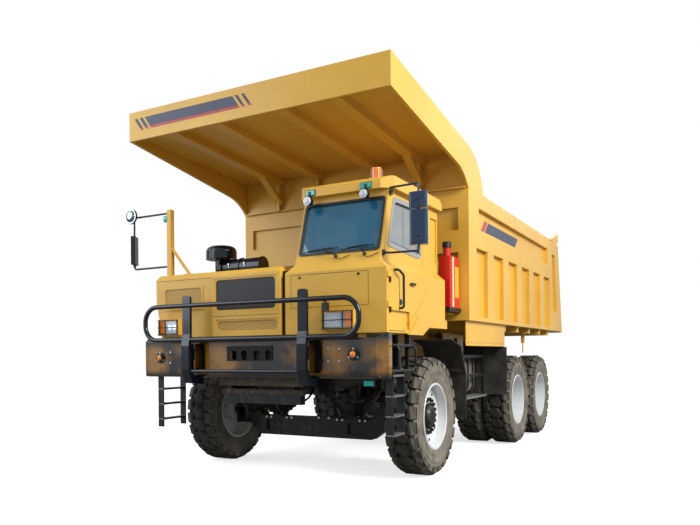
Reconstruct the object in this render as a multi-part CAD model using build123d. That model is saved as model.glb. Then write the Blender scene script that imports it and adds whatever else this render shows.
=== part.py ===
from build123d import *
import math
import os

# Rigid three-axle mining dump truck with an offset cab, in millimetres.
# +Z is up, the truck faces -Y, and +X is its left side, where the cab is.
# Sizes are measured from the ground below the front axle's middle. Each node is then
# moved so that the frame's origin lies below the middle of the whole truck.
FRAME_X = -68.6
FRAME_Y = 2856

# Wheels and axles
TYRE_RADIUS = 750
TYRE_WIDTH = 430
LUGS_A_ROW = 10
LUG_HEIGHT = 32
LUG_GAP_SHARE = 0.22
SHOULDER_DROP = 55
SHOULDER_INSET = 45
RIM_RADIUS = 425
RIM_WALL = 30
RIM_WIDTH = 380
BEAD_CLEARANCE = 0.3
FRONT_TYRE_X = 1530
OUTER_TYRE_X = 1630
INNER_TYRE_X = 1150
MIDDLE_AXLE_Y = 3800
REAR_AXLE_Y = 5510
RUNNING_FIT = 0.08

# Chassis rails
RAIL_OUTER_X = 470
RAIL_WIDTH = 90
RAIL_WALL = 14
RAIL_BOTTOM = 1120
RAIL_TOP = 1480
RAIL_REAR_Y = 6450
CROSS_MEMBERS_Y = (-1180, 1560, 2420, 3150, 4595, 6100)
CROSS_WIDTH = 120
CROSS_HEIGHT = 136

# Bed and its hinge
BED_HALF_WIDTH = 1870
BED_FRONT_Y = 950
BED_REAR_Y = 6950
BED_REAR_LEAN = 370
BED_BOTTOM = 2000
BED_TOP = 3820
BED_WALL = 90
BED_SKIN = 25
FLOOR_THICKNESS = 40
BED_HINGE_Y = 6700
BED_HINGE_Z = 1700
BED_PIN_RADIUS = 45
BED_CUSHION = 20
BED_LIFT_DEG = 45
HINGE_GAP = 6

# Canopy over the cab
CANOPY_REACH = 2640
CANOPY_HEIGHT = 375
CANOPY_RISE = 315
CANOPY_WALL = 40
CANOPY_KNEE_LENGTH = 450
CANOPY_KNEE_RISE = 240
CANOPY_HEEL_LENGTH = 710
CANOPY_TOP_KNEE_LENGTH = 60
CANOPY_FRONT_Y = BED_FRONT_Y - CANOPY_REACH
CANOPY_KNEE_Y = BED_FRONT_Y - CANOPY_KNEE_LENGTH
CANOPY_KNEE_Z = BED_TOP + CANOPY_KNEE_RISE
CANOPY_FRONT_BOTTOM = CANOPY_KNEE_Z + CANOPY_RISE
CANOPY_FRONT_TOP = CANOPY_FRONT_BOTTOM + CANOPY_HEIGHT
CANOPY_TOP_KNEE_Y = BED_FRONT_Y + CANOPY_TOP_KNEE_LENGTH
CANOPY_TOP_KNEE_Z = CANOPY_KNEE_Z + 0.907 * CANOPY_HEIGHT
CANOPY_REAR_Y = BED_FRONT_Y + CANOPY_HEEL_LENGTH
DECK_THICKNESS = 16
DECK_DROP = 150
CANOPY_RIB_DEPTH = 95
CANOPY_RIB_WIDTH = 160
CANOPY_RIBS_X = tuple(part * BED_HALF_WIDTH for part in (-0.628, -0.249, 0.249, 0.628))
CANOPY_BRACED_X = (CANOPY_RIBS_X[0], CANOPY_RIBS_X[-1])
CANOPY_POST = 45
BRACE_REACH = 560
BRACE_DROP = 330
BRACE_WIDTH = 110
BRACE_DEPTH = 90
FLANGE_REACH = 60
FLANGE_THICKNESS = 18

# Cab
CAB_RIGHT_X = 420
CAB_LEFT_X = 1720
CAB_INSET = 100
CAB_FRONT_Y = -1500
CAB_REAR_Y = 380
CAB_BOTTOM = 1780
CAB_ARCH_Z = 1863
CAB_WAIST_LOW = 2500
CAB_WAIST_HIGH = 2590
CAB_ROOF_UNDER = 3420
CAB_ROOF_TOP = 3560
CAB_WALL = 50
VISOR_FRONT_Y = -1270
SCREEN_FOOT_Y = -1400
SCREEN_FOOT_Z = 2690
SCREEN_HEAD_Y = -1200
SCREEN_HEAD_Z = 3340
GLASS_THICKNESS = 8
DOOR_GAP = 7
DOOR_SEAL_STEP = 30

# Hood
HOOD_RIGHT_X = -1595
HOOD_LEFT_X = 360
HOOD_REAR_Y = 250
HOOD_TOP = 2600
HOOD_CHAMFER = 60
HOOD_WALL = 30
GRILLE_RIGHT_X = -650

# Bumper and guard frame
BUMPER_HALF_WIDTH = 1735
BUMPER_FRONT_Y = -1560
BUMPER_BACK_Y = -1400
BUMPER_BOTTOM = 1270
BUMPER_TOP = 1770
BUMPER_WALL = 20
BUMPER_CHAMFER = 45
GUARD_Y = -1725
GUARD_RADIUS = 30
GUARD_TOP_Z = 2165
GUARD_LOW_Z = 1740
GUARD_FOOT_Z = 1350
GUARD_LEFT_X = 1490
GUARD_RIGHT_X = -1580
GUARD_BEND = 190
POST_X = (-890, 790)
POST_WIDTH = 120
POST_ROUND = 28
POST_FOOT_Y = -1470
POST_TOP = 2285
POST_BOTTOM = 1180
POST_STAY = 15
POST_STAY_Z = (1490, 1640)

# Front openings and bars, each row (right x, left x, lower z, upper z)
BUMPER_HOLES = (
    (-1000, -735, 1330, 1690),
    (690, 945, 1330, 1705),
)
BUMPER_HOLE_ROUND = 55
TOW_PLATE_FACE = (-390, 275, 1475, 1656)
TOW_PLATE_DEPTH = 12
TOW_SLOTS = (
    (-326, -246, 1485, 1597),
    (-172, -90, 1485, 1597),
    (10, 92, 1485, 1597),
    (180, 262, 1485, 1597),
)
TOW_SLOT_ROUND = 25

# Bars below the bumper, each row (half length, front y, rear y, lower z, upper z)
UNDER_BARS = (
    (620, -1440, -1400, 1165, 1270),
    (600, -1400, -1340, 1060, 1120),
    (560, -1390, -1290, 945, 1060),
)

# Steering
KINGPIN_X = 1180
KINGPIN_RADIUS = 35
AXLE_EYE_RADIUS = 75
AXLE_EYE_LOW = 625
AXLE_EYE_HIGH = 875
EAR_THICKNESS = 55
EAR_GAP = 5
SPINDLE_RADIUS = 60
STEER_ARM_LENGTH = 225
TIE_ROD_RADIUS = 24
STUD_GAP = 0.3

# Hoists, two three-stage cylinders on one cross tube
HOIST_X = 610
HOIST_FOOT_Y = 2700
HOIST_FOOT_Z = 780
HOIST_HEAD_Y = 3250
HOIST_HEAD_Z = 1850
HOIST_RADIUS = 105
HOIST_WALL = 14
HOIST_STAGES = 3
HOIST_FIT = 0.08


def box(x0, x1, y0, y1, z0, z1):
    """A block between six planes."""
    size = (x1 - x0, y1 - y0, z1 - z0)
    return Pos((x0 + x1) / 2, (y0 + y1) / 2, (z0 + z1) / 2) * Box(*size)


def prism_x(points, x0, x1):
    """A (y, z) outline pushed from x0 to x1."""
    face = make_face(Polyline(*[(x0, y, z) for y, z in points], close=True).edges())
    return extrude(face, amount=x1 - x0, dir=(1, 0, 0))


def prism_y(points, y0, y1):
    """An (x, z) outline pushed from y0 to y1."""
    face = make_face(Polyline(*[(x, y0, z) for x, z in points], close=True).edges())
    return extrude(face, amount=y1 - y0, dir=(0, 1, 0))


def prism_z(points, z0, z1):
    """An (x, y) outline pushed from z0 to z1."""
    face = make_face(Polyline(*[(x, y, z0) for x, y in points], close=True).edges())
    return extrude(face, amount=z1 - z0, dir=(0, 0, 1))


def rod(start, end, radius):
    """A round bar between two points."""
    axis = Vector(*end) - Vector(*start)
    plane = Plane(origin=start, z_dir=axis)
    return extrude(plane * Circle(radius), amount=axis.length)


def tube_between(start, end, outer, inner):
    """A round tube between two points."""
    axis = Vector(*end) - Vector(*start)
    plane = Plane(origin=start, z_dir=axis)
    return extrude(plane * (Circle(outer) - Circle(inner)), amount=axis.length)


def bent_rod(points, radius, bend, close=False):
    """A round bar along straight runs joined by arcs."""
    path = FilletPolyline(*points, radius=bend, close=close)
    first = path.edges()[0] if close else path
    section = Plane(origin=first @ 0, z_dir=first % 0) * Circle(radius)
    return sweep(section, path=path)


def turned_x(profile, x, y, z):
    """An (along, radius) outline turned about the line through (y, z) along X."""
    points = [(x + along, y + radius, z) for along, radius in profile]
    face = make_face(Polyline(*points, close=True).edges())
    return revolve(face, axis=Axis((x, y, z), (1, 0, 0)))


def mirrored(shape):
    """The same shape on the truck's other side."""
    return mirror(shape, about=Plane.YZ)


def both_sides(shape):
    """A shape and its twin on the truck's other side."""
    return [shape, mirrored(shape)]


def node(name, *shapes):
    """Writes one node from shapes or lists of shapes."""
    solids = []
    for shape in shapes:
        for item in shape if isinstance(shape, list) else [shape]:
            solids.extend(item.solids())
    moved = [Pos(-FRAME_X, -FRAME_Y, 0) * solid for solid in solids]
    export_step(Compound(children=moved), f"parts/{name}.step")


def fuse_all(first, *others):
    """One shape made of touching or crossing shapes."""
    result = first
    for other in others:
        result = result + other
    return result


def round_hole(row, radius, y0, y1):
    """A rounded (right x, left x, lower z, upper z) hole cut from y0 to y1."""
    hole = box(row[0], row[1], y0, y1, row[2], row[3])
    return fillet(hole.edges().filter_by(Axis.Y), radius)


# Tyres and rims


def ring_outline(radius, sides, x, y):
    """A regular outline in a YZ plane whose flats lie at the radius, one of them below."""
    corner = radius / math.cos(math.pi / sides)
    points = []
    for k in range(sides):
        turn = math.radians(-90) + (k + 0.5) * 2 * math.pi / sides
        points.append((x, y + corner * math.cos(turn), TYRE_RADIUS + corner * math.sin(turn)))
    return make_face(Polyline(*points, close=True).edges())


def lug_outline(tip, x, y, first):
    """A row of lugs seen from its end: raised flats at the tip radius with grooves between them."""
    pitch = 2 * math.pi / LUGS_A_ROW
    top = pitch / 4
    foot = pitch * (1 - LUG_GAP_SHARE) / 2
    high = tip / math.cos(top)
    low = tip - LUG_HEIGHT
    points = []
    for k in range(LUGS_A_ROW):
        middle = math.radians(-90) + first + k * pitch
        for turn, radius in ((-foot, low), (-top, high), (top, high), (foot, low)):
            points.append((x, y + radius * math.cos(middle + turn),
                           TYRE_RADIUS + radius * math.sin(middle + turn)))
    return make_face(Polyline(*points, close=True).edges())


def tyre(x, y):
    """One tyre with two staggered rows of lugs that run down its sloping shoulders."""
    half = TYRE_WIDTH / 2
    crown = half - SHOULDER_INSET
    rows = []
    for side, first in ((1, 0), (-1, math.pi / LUGS_A_ROW)):
        edge = x + side * crown
        row = extrude(lug_outline(TYRE_RADIUS, x, y, first), amount=crown, dir=(side, 0, 0))
        shoulder = loft([lug_outline(TYRE_RADIUS, edge, y, first),
                         lug_outline(TYRE_RADIUS - SHOULDER_DROP, x + side * half, y, first)], ruled=True)
        rows.append(row + shoulder)
    hole = extrude(ring_outline(RIM_RADIUS + BEAD_CLEARANCE, 2 * LUGS_A_ROW, x - half, y),
                   amount=TYRE_WIDTH, dir=(1, 0, 0))
    return rows[0] + rows[1] - hole


FRONT_DISC_AT = 45
FRONT_DISC_THICKNESS = 30
FRONT_HUB_RADIUS = 150
FRONT_HUB_INNER = -150
FRONT_HUB_OUTER = 150
FRONT_HUB_CAP = 110
SPINDLE_END = 110
SPINDLE_END_PLAY = 5


def front_rim():
    """The left front rim with its disc and hub, open inwards for the spindle."""
    half = RIM_WIDTH / 2
    inner_radius = RIM_RADIUS - RIM_WALL
    bore = SPINDLE_RADIUS + RUNNING_FIT
    disc_out = FRONT_DISC_AT + FRONT_DISC_THICKNESS
    bore_end = SPINDLE_END + SPINDLE_END_PLAY
    profile = [
        (FRONT_HUB_INNER, bore), (FRONT_HUB_INNER, FRONT_HUB_RADIUS),
        (FRONT_DISC_AT, FRONT_HUB_RADIUS), (FRONT_DISC_AT, inner_radius),
        (-half, inner_radius), (-half, RIM_RADIUS), (half, RIM_RADIUS), (half, inner_radius),
        (disc_out, inner_radius), (disc_out, FRONT_HUB_RADIUS),
        (FRONT_HUB_CAP, FRONT_HUB_RADIUS), (FRONT_HUB_OUTER, FRONT_HUB_CAP),
        (FRONT_HUB_OUTER, 0), (bore_end, 0), (bore_end, bore),
    ]
    return turned_x(profile, FRONT_TYRE_X, 0, TYRE_RADIUS)


DUAL_DISC_X = 1380
DUAL_DISC_THICKNESS = 30
DUAL_HUB_RADIUS = 175
DUAL_HUB_INNER_X = 985
DUAL_HUB_OUTER_X = 1660
DUAL_HUB_CAP_RADIUS = 130
DUAL_HUB_CAP_X = 1620
DRIVE_SPINDLE_RADIUS = 70
DRIVE_SPINDLE_END_X = 1560


def dual_rim(y):
    """The left pair of rims on one deep drum with a shared disc and hub."""
    inner_radius = RIM_RADIUS - RIM_WALL
    left_end = OUTER_TYRE_X + RIM_WIDTH / 2
    right_end = INNER_TYRE_X - RIM_WIDTH / 2
    bore = DRIVE_SPINDLE_RADIUS + RUNNING_FIT
    disc_out = DUAL_DISC_X + DUAL_DISC_THICKNESS
    bore_end = DRIVE_SPINDLE_END_X + SPINDLE_END_PLAY
    profile = [
        (DUAL_HUB_INNER_X, bore), (DUAL_HUB_INNER_X, DUAL_HUB_RADIUS),
        (DUAL_DISC_X, DUAL_HUB_RADIUS), (DUAL_DISC_X, inner_radius),
        (right_end, inner_radius), (right_end, RIM_RADIUS), (left_end, RIM_RADIUS), (left_end, inner_radius),
        (disc_out, inner_radius), (disc_out, DUAL_HUB_RADIUS),
        (DUAL_HUB_CAP_X, DUAL_HUB_RADIUS), (DUAL_HUB_OUTER_X, DUAL_HUB_CAP_RADIUS),
        (DUAL_HUB_OUTER_X, 0), (bore_end, 0), (bore_end, bore),
    ]
    return turned_x(profile, 0, y, TYRE_RADIUS)


def make_wheels():
    tyre_left = tyre(FRONT_TYRE_X, 0)
    rim_left = front_rim()
    node("front_tyre_left", tyre_left)
    node("front_tyre_right", mirrored(tyre_left))
    node("front_rim_left", rim_left)
    node("front_rim_right", mirrored(rim_left))
    for name, y in (("middle", MIDDLE_AXLE_Y), ("rear", REAR_AXLE_Y)):
        pair = [tyre(OUTER_TYRE_X, y), tyre(INNER_TYRE_X, y)]
        rims = dual_rim(y)
        node(f"{name}_tyres_left", pair)
        node(f"{name}_tyres_right", [mirrored(one) for one in pair])
        node(f"{name}_rims_left", rims)
        node(f"{name}_rims_right", mirrored(rims))


# Front axle and steering

BEAM_BOTTOM = 410
BEAM_TOP = 680
BEAM_HALF_DEPTH = 100
BEAM_FLAT_X = 860
BEAM_END_X = 1070
BEAM_END_LOW = 560
BEAM_END_HIGH = 860
SPRING_X0 = 560
SPRING_X1 = 650
SPRING_SEAT = 20
POCKET_DEPTH = 35


def axle_beam():
    """The front axle's box beam with rising ends and an eye for each kingpin."""
    outline = [
        (-BEAM_FLAT_X, BEAM_BOTTOM), (BEAM_FLAT_X, BEAM_BOTTOM), (BEAM_END_X, BEAM_END_LOW),
        (BEAM_END_X, BEAM_END_HIGH), (BEAM_END_X - 90, BEAM_END_HIGH), (BEAM_FLAT_X, BEAM_TOP),
        (-BEAM_FLAT_X, BEAM_TOP), (90 - BEAM_END_X, BEAM_END_HIGH), (-BEAM_END_X, BEAM_END_HIGH),
        (-BEAM_END_X, BEAM_END_LOW),
    ]
    beam = prism_y(outline, -BEAM_HALF_DEPTH, BEAM_HALF_DEPTH)
    for x0, x1 in ((-780, -520), (520, 780)):
        beam = beam - box(x0, x1, -BEAM_HALF_DEPTH, POCKET_DEPTH - BEAM_HALF_DEPTH, BEAM_BOTTOM + 60,
                          BEAM_TOP - 60)
    for side in (-1, 1):
        x = side * KINGPIN_X
        eye = rod((x, 0, AXLE_EYE_LOW), (x, 0, AXLE_EYE_HIGH), AXLE_EYE_RADIUS)
        neck = box(*sorted((side * (BEAM_END_X - 30), x)), -60, 60, AXLE_EYE_LOW, AXLE_EYE_HIGH - 20)
        seat = box(*sorted((side * (SPRING_X0 - 20), side * (SPRING_X1 + 20))), -BEAM_HALF_DEPTH,
                   BEAM_HALF_DEPTH,
                   BEAM_TOP, BEAM_TOP + SPRING_SEAT)
        bore = rod((x, 0, AXLE_EYE_LOW), (x, 0, AXLE_EYE_HIGH), KINGPIN_RADIUS + RUNNING_FIT)
        beam = beam + neck + eye + seat - bore
    return beam


KNUCKLE_PLATE_X0 = 1265
KNUCKLE_PLATE_X1 = 1300
KNUCKLE_HALF_DEPTH = 70
ARM_HALF_WIDTH = 35
ARM_OFFSET_X = 60


def knuckle():
    """The left steering knuckle: fork, kingpin, spindle and steering arm."""
    low = AXLE_EYE_LOW - EAR_GAP - EAR_THICKNESS
    high = AXLE_EYE_HIGH + EAR_GAP + EAR_THICKNESS
    body = box(KNUCKLE_PLATE_X0, KNUCKLE_PLATE_X1, -110, 110, low, high)
    for z0 in (low, high - EAR_THICKNESS):
        body = body + box(KINGPIN_X - 70, KNUCKLE_PLATE_X0, -KNUCKLE_HALF_DEPTH, KNUCKLE_HALF_DEPTH, z0,
                          z0 + EAR_THICKNESS)
    pin = rod((KINGPIN_X, 0, low), (KINGPIN_X, 0, high), KINGPIN_RADIUS)
    spindle = rod((KNUCKLE_PLATE_X1, 0, TYRE_RADIUS), (FRONT_TYRE_X + SPINDLE_END, 0, TYRE_RADIUS),
                  SPINDLE_RADIUS)
    end_x = KINGPIN_X - ARM_OFFSET_X
    arm = prism_z([
        (KNUCKLE_PLATE_X0, KNUCKLE_HALF_DEPTH - 10), (KNUCKLE_PLATE_X1, KNUCKLE_HALF_DEPTH),
        (end_x + ARM_HALF_WIDTH, STEER_ARM_LENGTH + 40), (end_x - ARM_HALF_WIDTH, STEER_ARM_LENGTH + 40),
        (end_x - ARM_HALF_WIDTH, STEER_ARM_LENGTH),
    ], low, low + EAR_THICKNESS)
    return body + pin + spindle + arm


def tie_rod():
    """The track rod behind the axle, with a stud below each steering arm."""
    arm_low = AXLE_EYE_LOW - EAR_GAP - EAR_THICKNESS
    z = arm_low - STUD_GAP - 60
    end_x = KINGPIN_X - ARM_OFFSET_X
    bar = rod((-end_x, STEER_ARM_LENGTH, z), (end_x, STEER_ARM_LENGTH, z), TIE_ROD_RADIUS)
    for side in (-1, 1):
        x = side * end_x
        bar = bar + rod((x, STEER_ARM_LENGTH, z - 40), (x, STEER_ARM_LENGTH, z + 40), 38)
        bar = bar + rod((x, STEER_ARM_LENGTH, z + 30), (x, STEER_ARM_LENGTH, arm_low - STUD_GAP), 18)
    return bar


def make_front_axle():
    node("front_axle", axle_beam())
    left = knuckle()
    node("knuckle_left", left)
    node("knuckle_right", mirrored(left))
    node("tie_rod", tie_rod())


# Drive axles, springs and driveline

HOUSING_RADIUS = 125
HOUSING_END_X = 960
DIFF_RADIUS = 250
DIFF_HALF_WIDTH = 210
SADDLE_TOP = TYRE_RADIUS + 185
SADDLE_HALF_DEPTH = 85


def drive_axle(y):
    """One driven axle: tapering differential case, tubes, spindles and spring saddles."""
    profile = [
        (-DRIVE_SPINDLE_END_X, 0), (-DRIVE_SPINDLE_END_X, DRIVE_SPINDLE_RADIUS),
        (-HOUSING_END_X, DRIVE_SPINDLE_RADIUS),
        (-HOUSING_END_X, HOUSING_RADIUS), (-DIFF_HALF_WIDTH - 120, HOUSING_RADIUS),
        (-DIFF_HALF_WIDTH + 60, DIFF_RADIUS),
        (DIFF_HALF_WIDTH - 60, DIFF_RADIUS), (DIFF_HALF_WIDTH + 120, HOUSING_RADIUS),
        (HOUSING_END_X, HOUSING_RADIUS),
        (HOUSING_END_X, DRIVE_SPINDLE_RADIUS), (DRIVE_SPINDLE_END_X, DRIVE_SPINDLE_RADIUS),
        (DRIVE_SPINDLE_END_X, 0),
    ]
    axle = turned_x(profile, 0, y, TYRE_RADIUS)
    nose = rod((0, y, TYRE_RADIUS), (0, y - DIFF_RADIUS - 60, TYRE_RADIUS), 110)
    axle = axle + nose
    for side in (-1, 1):
        x0, x1 = sorted((side * (SPRING_X0 - 10), side * (SPRING_X1 + 10)))
        axle = axle + box(x0, x1, y - SADDLE_HALF_DEPTH, y + SADDLE_HALF_DEPTH, TYRE_RADIUS + 60, SADDLE_TOP)
    return axle


LEAF = 22
FRONT_LEAVES = 7
FRONT_SPRING_HALF = 780
FRONT_SPRING_RISE = 205
REAR_LEAVES = 5
REAR_SPRING_RISE = 39
CLAMP_HALF = 115


def leaf_pack(y, z, half, rise, leaves, up):
    """Leaves bent about one centre and stacked from the longest, which ends higher or lower by the rise."""
    radius = (half * half + rise * rise) / (2 * rise)
    pack = None
    for k in range(leaves):
        reach = half - (half - 1.3 * CLAMP_HALF) * k / (leaves - 1)
        outer = radius + k * LEAF + LEAF
        turn = math.asin(reach / outer)
        arcs = []
        for r in (outer, outer - LEAF):
            ends = [(SPRING_X0, y + side * r * math.sin(turn), z + up * (radius - r * math.cos(turn)))
                    for side in (-1, 1)]
            arcs.append((ends[0], (SPRING_X0, y, z + up * (radius - r)), ends[1]))
        low, high = arcs
        edges = [ThreePointArc(*low), Line(low[2], high[2]), ThreePointArc(*high), Line(high[0], low[0])]
        leaf = extrude(make_face([edge.edge() for edge in edges]), amount=SPRING_X1 - SPRING_X0,
                       dir=(1, 0, 0))
        pack = leaf if pack is None else pack + leaf
    return pack


def make_springs():
    """Leaf packs over the front axle, and the inverted packs between the drive axles."""
    foot = BEAM_TOP + SPRING_SEAT
    thick = FRONT_LEAVES * LEAF
    front = leaf_pack(0, foot + thick, FRONT_SPRING_HALF, FRONT_SPRING_RISE, FRONT_LEAVES, 1)
    front = front + box(SPRING_X0, SPRING_X1, -BEAM_HALF_DEPTH, BEAM_HALF_DEPTH, foot, foot + LEAF)
    for y in (-FRONT_HANGER_Y, FRONT_HANGER_Y):
        front = front - box(SPRING_X0, SPRING_X1, y - 60, y + 60, HANGER_BOTTOM, HANGER_TOP)
    centre = (MIDDLE_AXLE_Y + REAR_AXLE_Y) / 2
    half = (REAR_AXLE_Y - MIDDLE_AXLE_Y) / 2 + 90
    seat = SADDLE_TOP + 150
    rear = leaf_pack(centre, seat - REAR_LEAVES * LEAF, half, REAR_SPRING_RISE, REAR_LEAVES, -1)
    rear = rear + box(SPRING_X0, SPRING_X1, centre - CLAMP_HALF, centre + CLAMP_HALF, seat - LEAF, seat)
    for y in (MIDDLE_AXLE_Y, REAR_AXLE_Y):
        rear = rear + box(SPRING_X0, SPRING_X1, y - 60, y + 60, SADDLE_TOP, SADDLE_TOP + LEAF)
    node("leaf_springs", both_sides(front), both_sides(rear))


ENGINE_X = (-350, 330)
ENGINE_Y = (-950, 200)
ENGINE_Z = (1050, 2150)
GEARBOX_Y = 1150
SHAFT_RADIUS = 55


def make_power_train():
    """Engine and gearbox as plain blocks, with the shafts to the drive axles."""
    engine = box(*ENGINE_X, *ENGINE_Y, *ENGINE_Z)
    gearbox = prism_x([
        (ENGINE_Y[1], 1050), (ENGINE_Y[1], 1450), (GEARBOX_Y, 1350), (GEARBOX_Y, 1100),
    ], -240, 240)
    nose = MIDDLE_AXLE_Y - DIFF_RADIUS - 60
    first = rod((0, GEARBOX_Y, 1200), (0, nose, TYRE_RADIUS), SHAFT_RADIUS)
    tail = box(-200, 200, GEARBOX_Y, nose, 600, 1400)
    rear_nose = REAR_AXLE_Y - DIFF_RADIUS - 60
    second = rod((0, MIDDLE_AXLE_Y + 240, TYRE_RADIUS), (0, rear_nose, TYRE_RADIUS), SHAFT_RADIUS)
    second = second & box(-200, 200, MIDDLE_AXLE_Y + DIFF_RADIUS, rear_nose, 500, 1000)
    node("power_train", engine + gearbox, first & tail, second)


# Chassis frame


def rail():
    """The left frame rail, a channel open towards the middle."""
    x0 = RAIL_OUTER_X - RAIL_WIDTH
    return prism_y([
        (x0, RAIL_BOTTOM), (RAIL_OUTER_X, RAIL_BOTTOM), (RAIL_OUTER_X, RAIL_TOP), (x0, RAIL_TOP),
        (x0, RAIL_TOP - RAIL_WALL), (RAIL_OUTER_X - RAIL_WALL, RAIL_TOP - RAIL_WALL),
        (RAIL_OUTER_X - RAIL_WALL, RAIL_BOTTOM + RAIL_WALL), (x0, RAIL_BOTTOM + RAIL_WALL),
    ], BUMPER_BACK_Y, RAIL_REAR_Y)


def hinge_bracket():
    """The left rear bracket that holds the bed's pin beside the bed beam."""
    x0 = RAIL_OUTER_X + HINGE_GAP
    x1 = x0 + 40
    plate = prism_x([
        (RAIL_REAR_Y - 330, RAIL_BOTTOM), (RAIL_REAR_Y + 60, RAIL_BOTTOM),
        (BED_HINGE_Y + 110, BED_HINGE_Z - 110),
        (BED_HINGE_Y + 110, BED_HINGE_Z + 60), (BED_HINGE_Y + 50, BED_HINGE_Z + 110),
        (BED_HINGE_Y - 60, BED_HINGE_Z + 110), (RAIL_REAR_Y - 330, RAIL_TOP - 60),
    ], x0, x1)
    pad = box(RAIL_OUTER_X, x0, RAIL_REAR_Y - 300, RAIL_REAR_Y, RAIL_BOTTOM + 20, RAIL_TOP - 80)
    pin_end = RAIL_OUTER_X - RAIL_WIDTH - HINGE_GAP
    pin = rod((pin_end, BED_HINGE_Y, BED_HINGE_Z), (x0 + 5, BED_HINGE_Y, BED_HINGE_Z), BED_PIN_RADIUS)
    return plate + pad + pin


FRONT_HANGER_Y = 760
HANGER_HALF = 45
HANGER_BOTTOM = 1045
HANGER_TOP = 1260
REAR_PLATE = 20
TRUNNION_HALF = 170
HOIST_TUBE_RADIUS = 55
HOIST_BRACKET = 40


TOW_BORE_RADIUS = 20
TOW_REACH = 110
TOW_PLATE = 20
TOW_GAP = 60
TOW_LOW_Z = 1220


def tow_clevis():
    """Two ears behind the rear cross member with a bore for a tow pin."""
    y0 = RAIL_REAR_Y + REAR_PLATE
    y1 = y0 + TOW_REACH
    top = TOW_LOW_Z + TOW_PLATE + TOW_GAP
    ears = box(-60, 60, y0, y1, TOW_LOW_Z, TOW_LOW_Z + TOW_PLATE)
    ears = ears + box(-60, 60, y0, y1, top, top + TOW_PLATE)
    at = y1 - 40
    return ears - rod((0, at, TOW_LOW_Z - 5), (0, at, top + TOW_PLATE + 5), TOW_BORE_RADIUS)


BODY_BEAM = 60
BODY_BEAMS = (
    # y0, y1, top z, left end x, right end x
    (-1385, -1305, CAB_BOTTOM, 1500, -1488),
    (130, 210, CAB_ARCH_Z, 1300, -1488),
)


def body_beams():
    """The cross beams on posts that carry the cab and the hood."""
    beams = []
    for y0, y1, top, left_end, right_end in BODY_BEAMS:
        for inner, post, end in ((345, RAIL_OUTER_X - RAIL_WIDTH, left_end),
                                 (RAIL_WIDTH - RAIL_OUTER_X, -RAIL_OUTER_X, right_end)):
            beam = box(min(inner, end), max(inner, end), y0, y1, top - BODY_BEAM, top)
            beams.append(beam + box(post, post + RAIL_WIDTH, y0, y1, RAIL_TOP, top - BODY_BEAM))
    return beams


def make_chassis():
    """Rails, cross members between them, and the brackets outside them."""
    rails = [one + seat for one, seat in zip(both_sides(rail()), both_sides(hoist_seat()))]
    node("frame_rails", rails)
    inner = RAIL_OUTER_X - RAIL_WALL
    top = RAIL_TOP - RAIL_WALL
    members = [box(-inner, inner, y, y + CROSS_WIDTH, top - CROSS_HEIGHT, top) for y in CROSS_MEMBERS_Y]
    end = box(-RAIL_OUTER_X, RAIL_OUTER_X, RAIL_REAR_Y, RAIL_REAR_Y + REAR_PLATE, RAIL_BOTTOM, RAIL_TOP)
    bars = [box(-half, half, y0, y1, z0, z1) for half, y0, y1, z0, z1 in UNDER_BARS]
    node("frame_cross_members", members, end + tow_clevis(), bars)
    centre = (MIDDLE_AXLE_Y + REAR_AXLE_Y) / 2
    brackets = [hinge_bracket()]
    for y in (-FRONT_HANGER_Y, FRONT_HANGER_Y):
        brackets.append(box(RAIL_OUTER_X, SPRING_X1, y - HANGER_HALF, y + HANGER_HALF, HANGER_BOTTOM,
                            HANGER_TOP))
    brackets.append(box(RAIL_OUTER_X, SPRING_X1, centre - TRUNNION_HALF, centre + TRUNNION_HALF,
                        SADDLE_TOP + 150, RAIL_TOP - 60))
    node("frame_brackets", brackets, [mirrored(one) for one in brackets])
    node("body_mounts", body_beams())


def hoist_seat():
    """The left hanger below the rail that carries the hoists' cross tube."""
    x0 = RAIL_OUTER_X - HOIST_BRACKET
    seat = prism_x([
        (HOIST_FOOT_Y - 170, RAIL_BOTTOM + 60), (HOIST_FOOT_Y - 90, HOIST_FOOT_Z - 90),
        (HOIST_FOOT_Y + 90, HOIST_FOOT_Z - 90),
        (HOIST_FOOT_Y + 170, RAIL_BOTTOM + 60),
    ], x0, RAIL_OUTER_X)
    seat = seat - box(x0, RAIL_OUTER_X, HOIST_FOOT_Y - 200, HOIST_FOOT_Y + 200, RAIL_BOTTOM,
                      RAIL_BOTTOM + 200)
    bore = rod((x0 - 10, HOIST_FOOT_Y, HOIST_FOOT_Z), (RAIL_OUTER_X + 10, HOIST_FOOT_Y, HOIST_FOOT_Z),
               HOIST_TUBE_RADIUS + RUNNING_FIT)
    return seat - bore


# Hoists


def hoist_point(distance):
    """The (y, z) point at a distance along the hoist from its foot."""
    dy = HOIST_HEAD_Y - HOIST_FOOT_Y
    dz = HOIST_HEAD_Z - HOIST_FOOT_Z
    length = math.hypot(dy, dz)
    return HOIST_FOOT_Y + dy * distance / length, HOIST_FOOT_Z + dz * distance / length


BARREL_START = 70
BARREL_END = 1050
STAGE_START = 110
STAGE_STEP_OUT = 14
EYE_RADIUS = 55
EYE_HALF_WIDTH = 45
EYE_STUD = 30
HEAD_PIN_RADIUS = 28


def hoist_part(x, start, end, outer, inner):
    """One round hoist stage along the hoist's line, hollow if inner isn't 0."""
    first = (x, *hoist_point(start))
    last = (x, *hoist_point(end))
    return tube_between(first, last, outer, inner) if inner else rod(first, last, outer)


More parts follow.
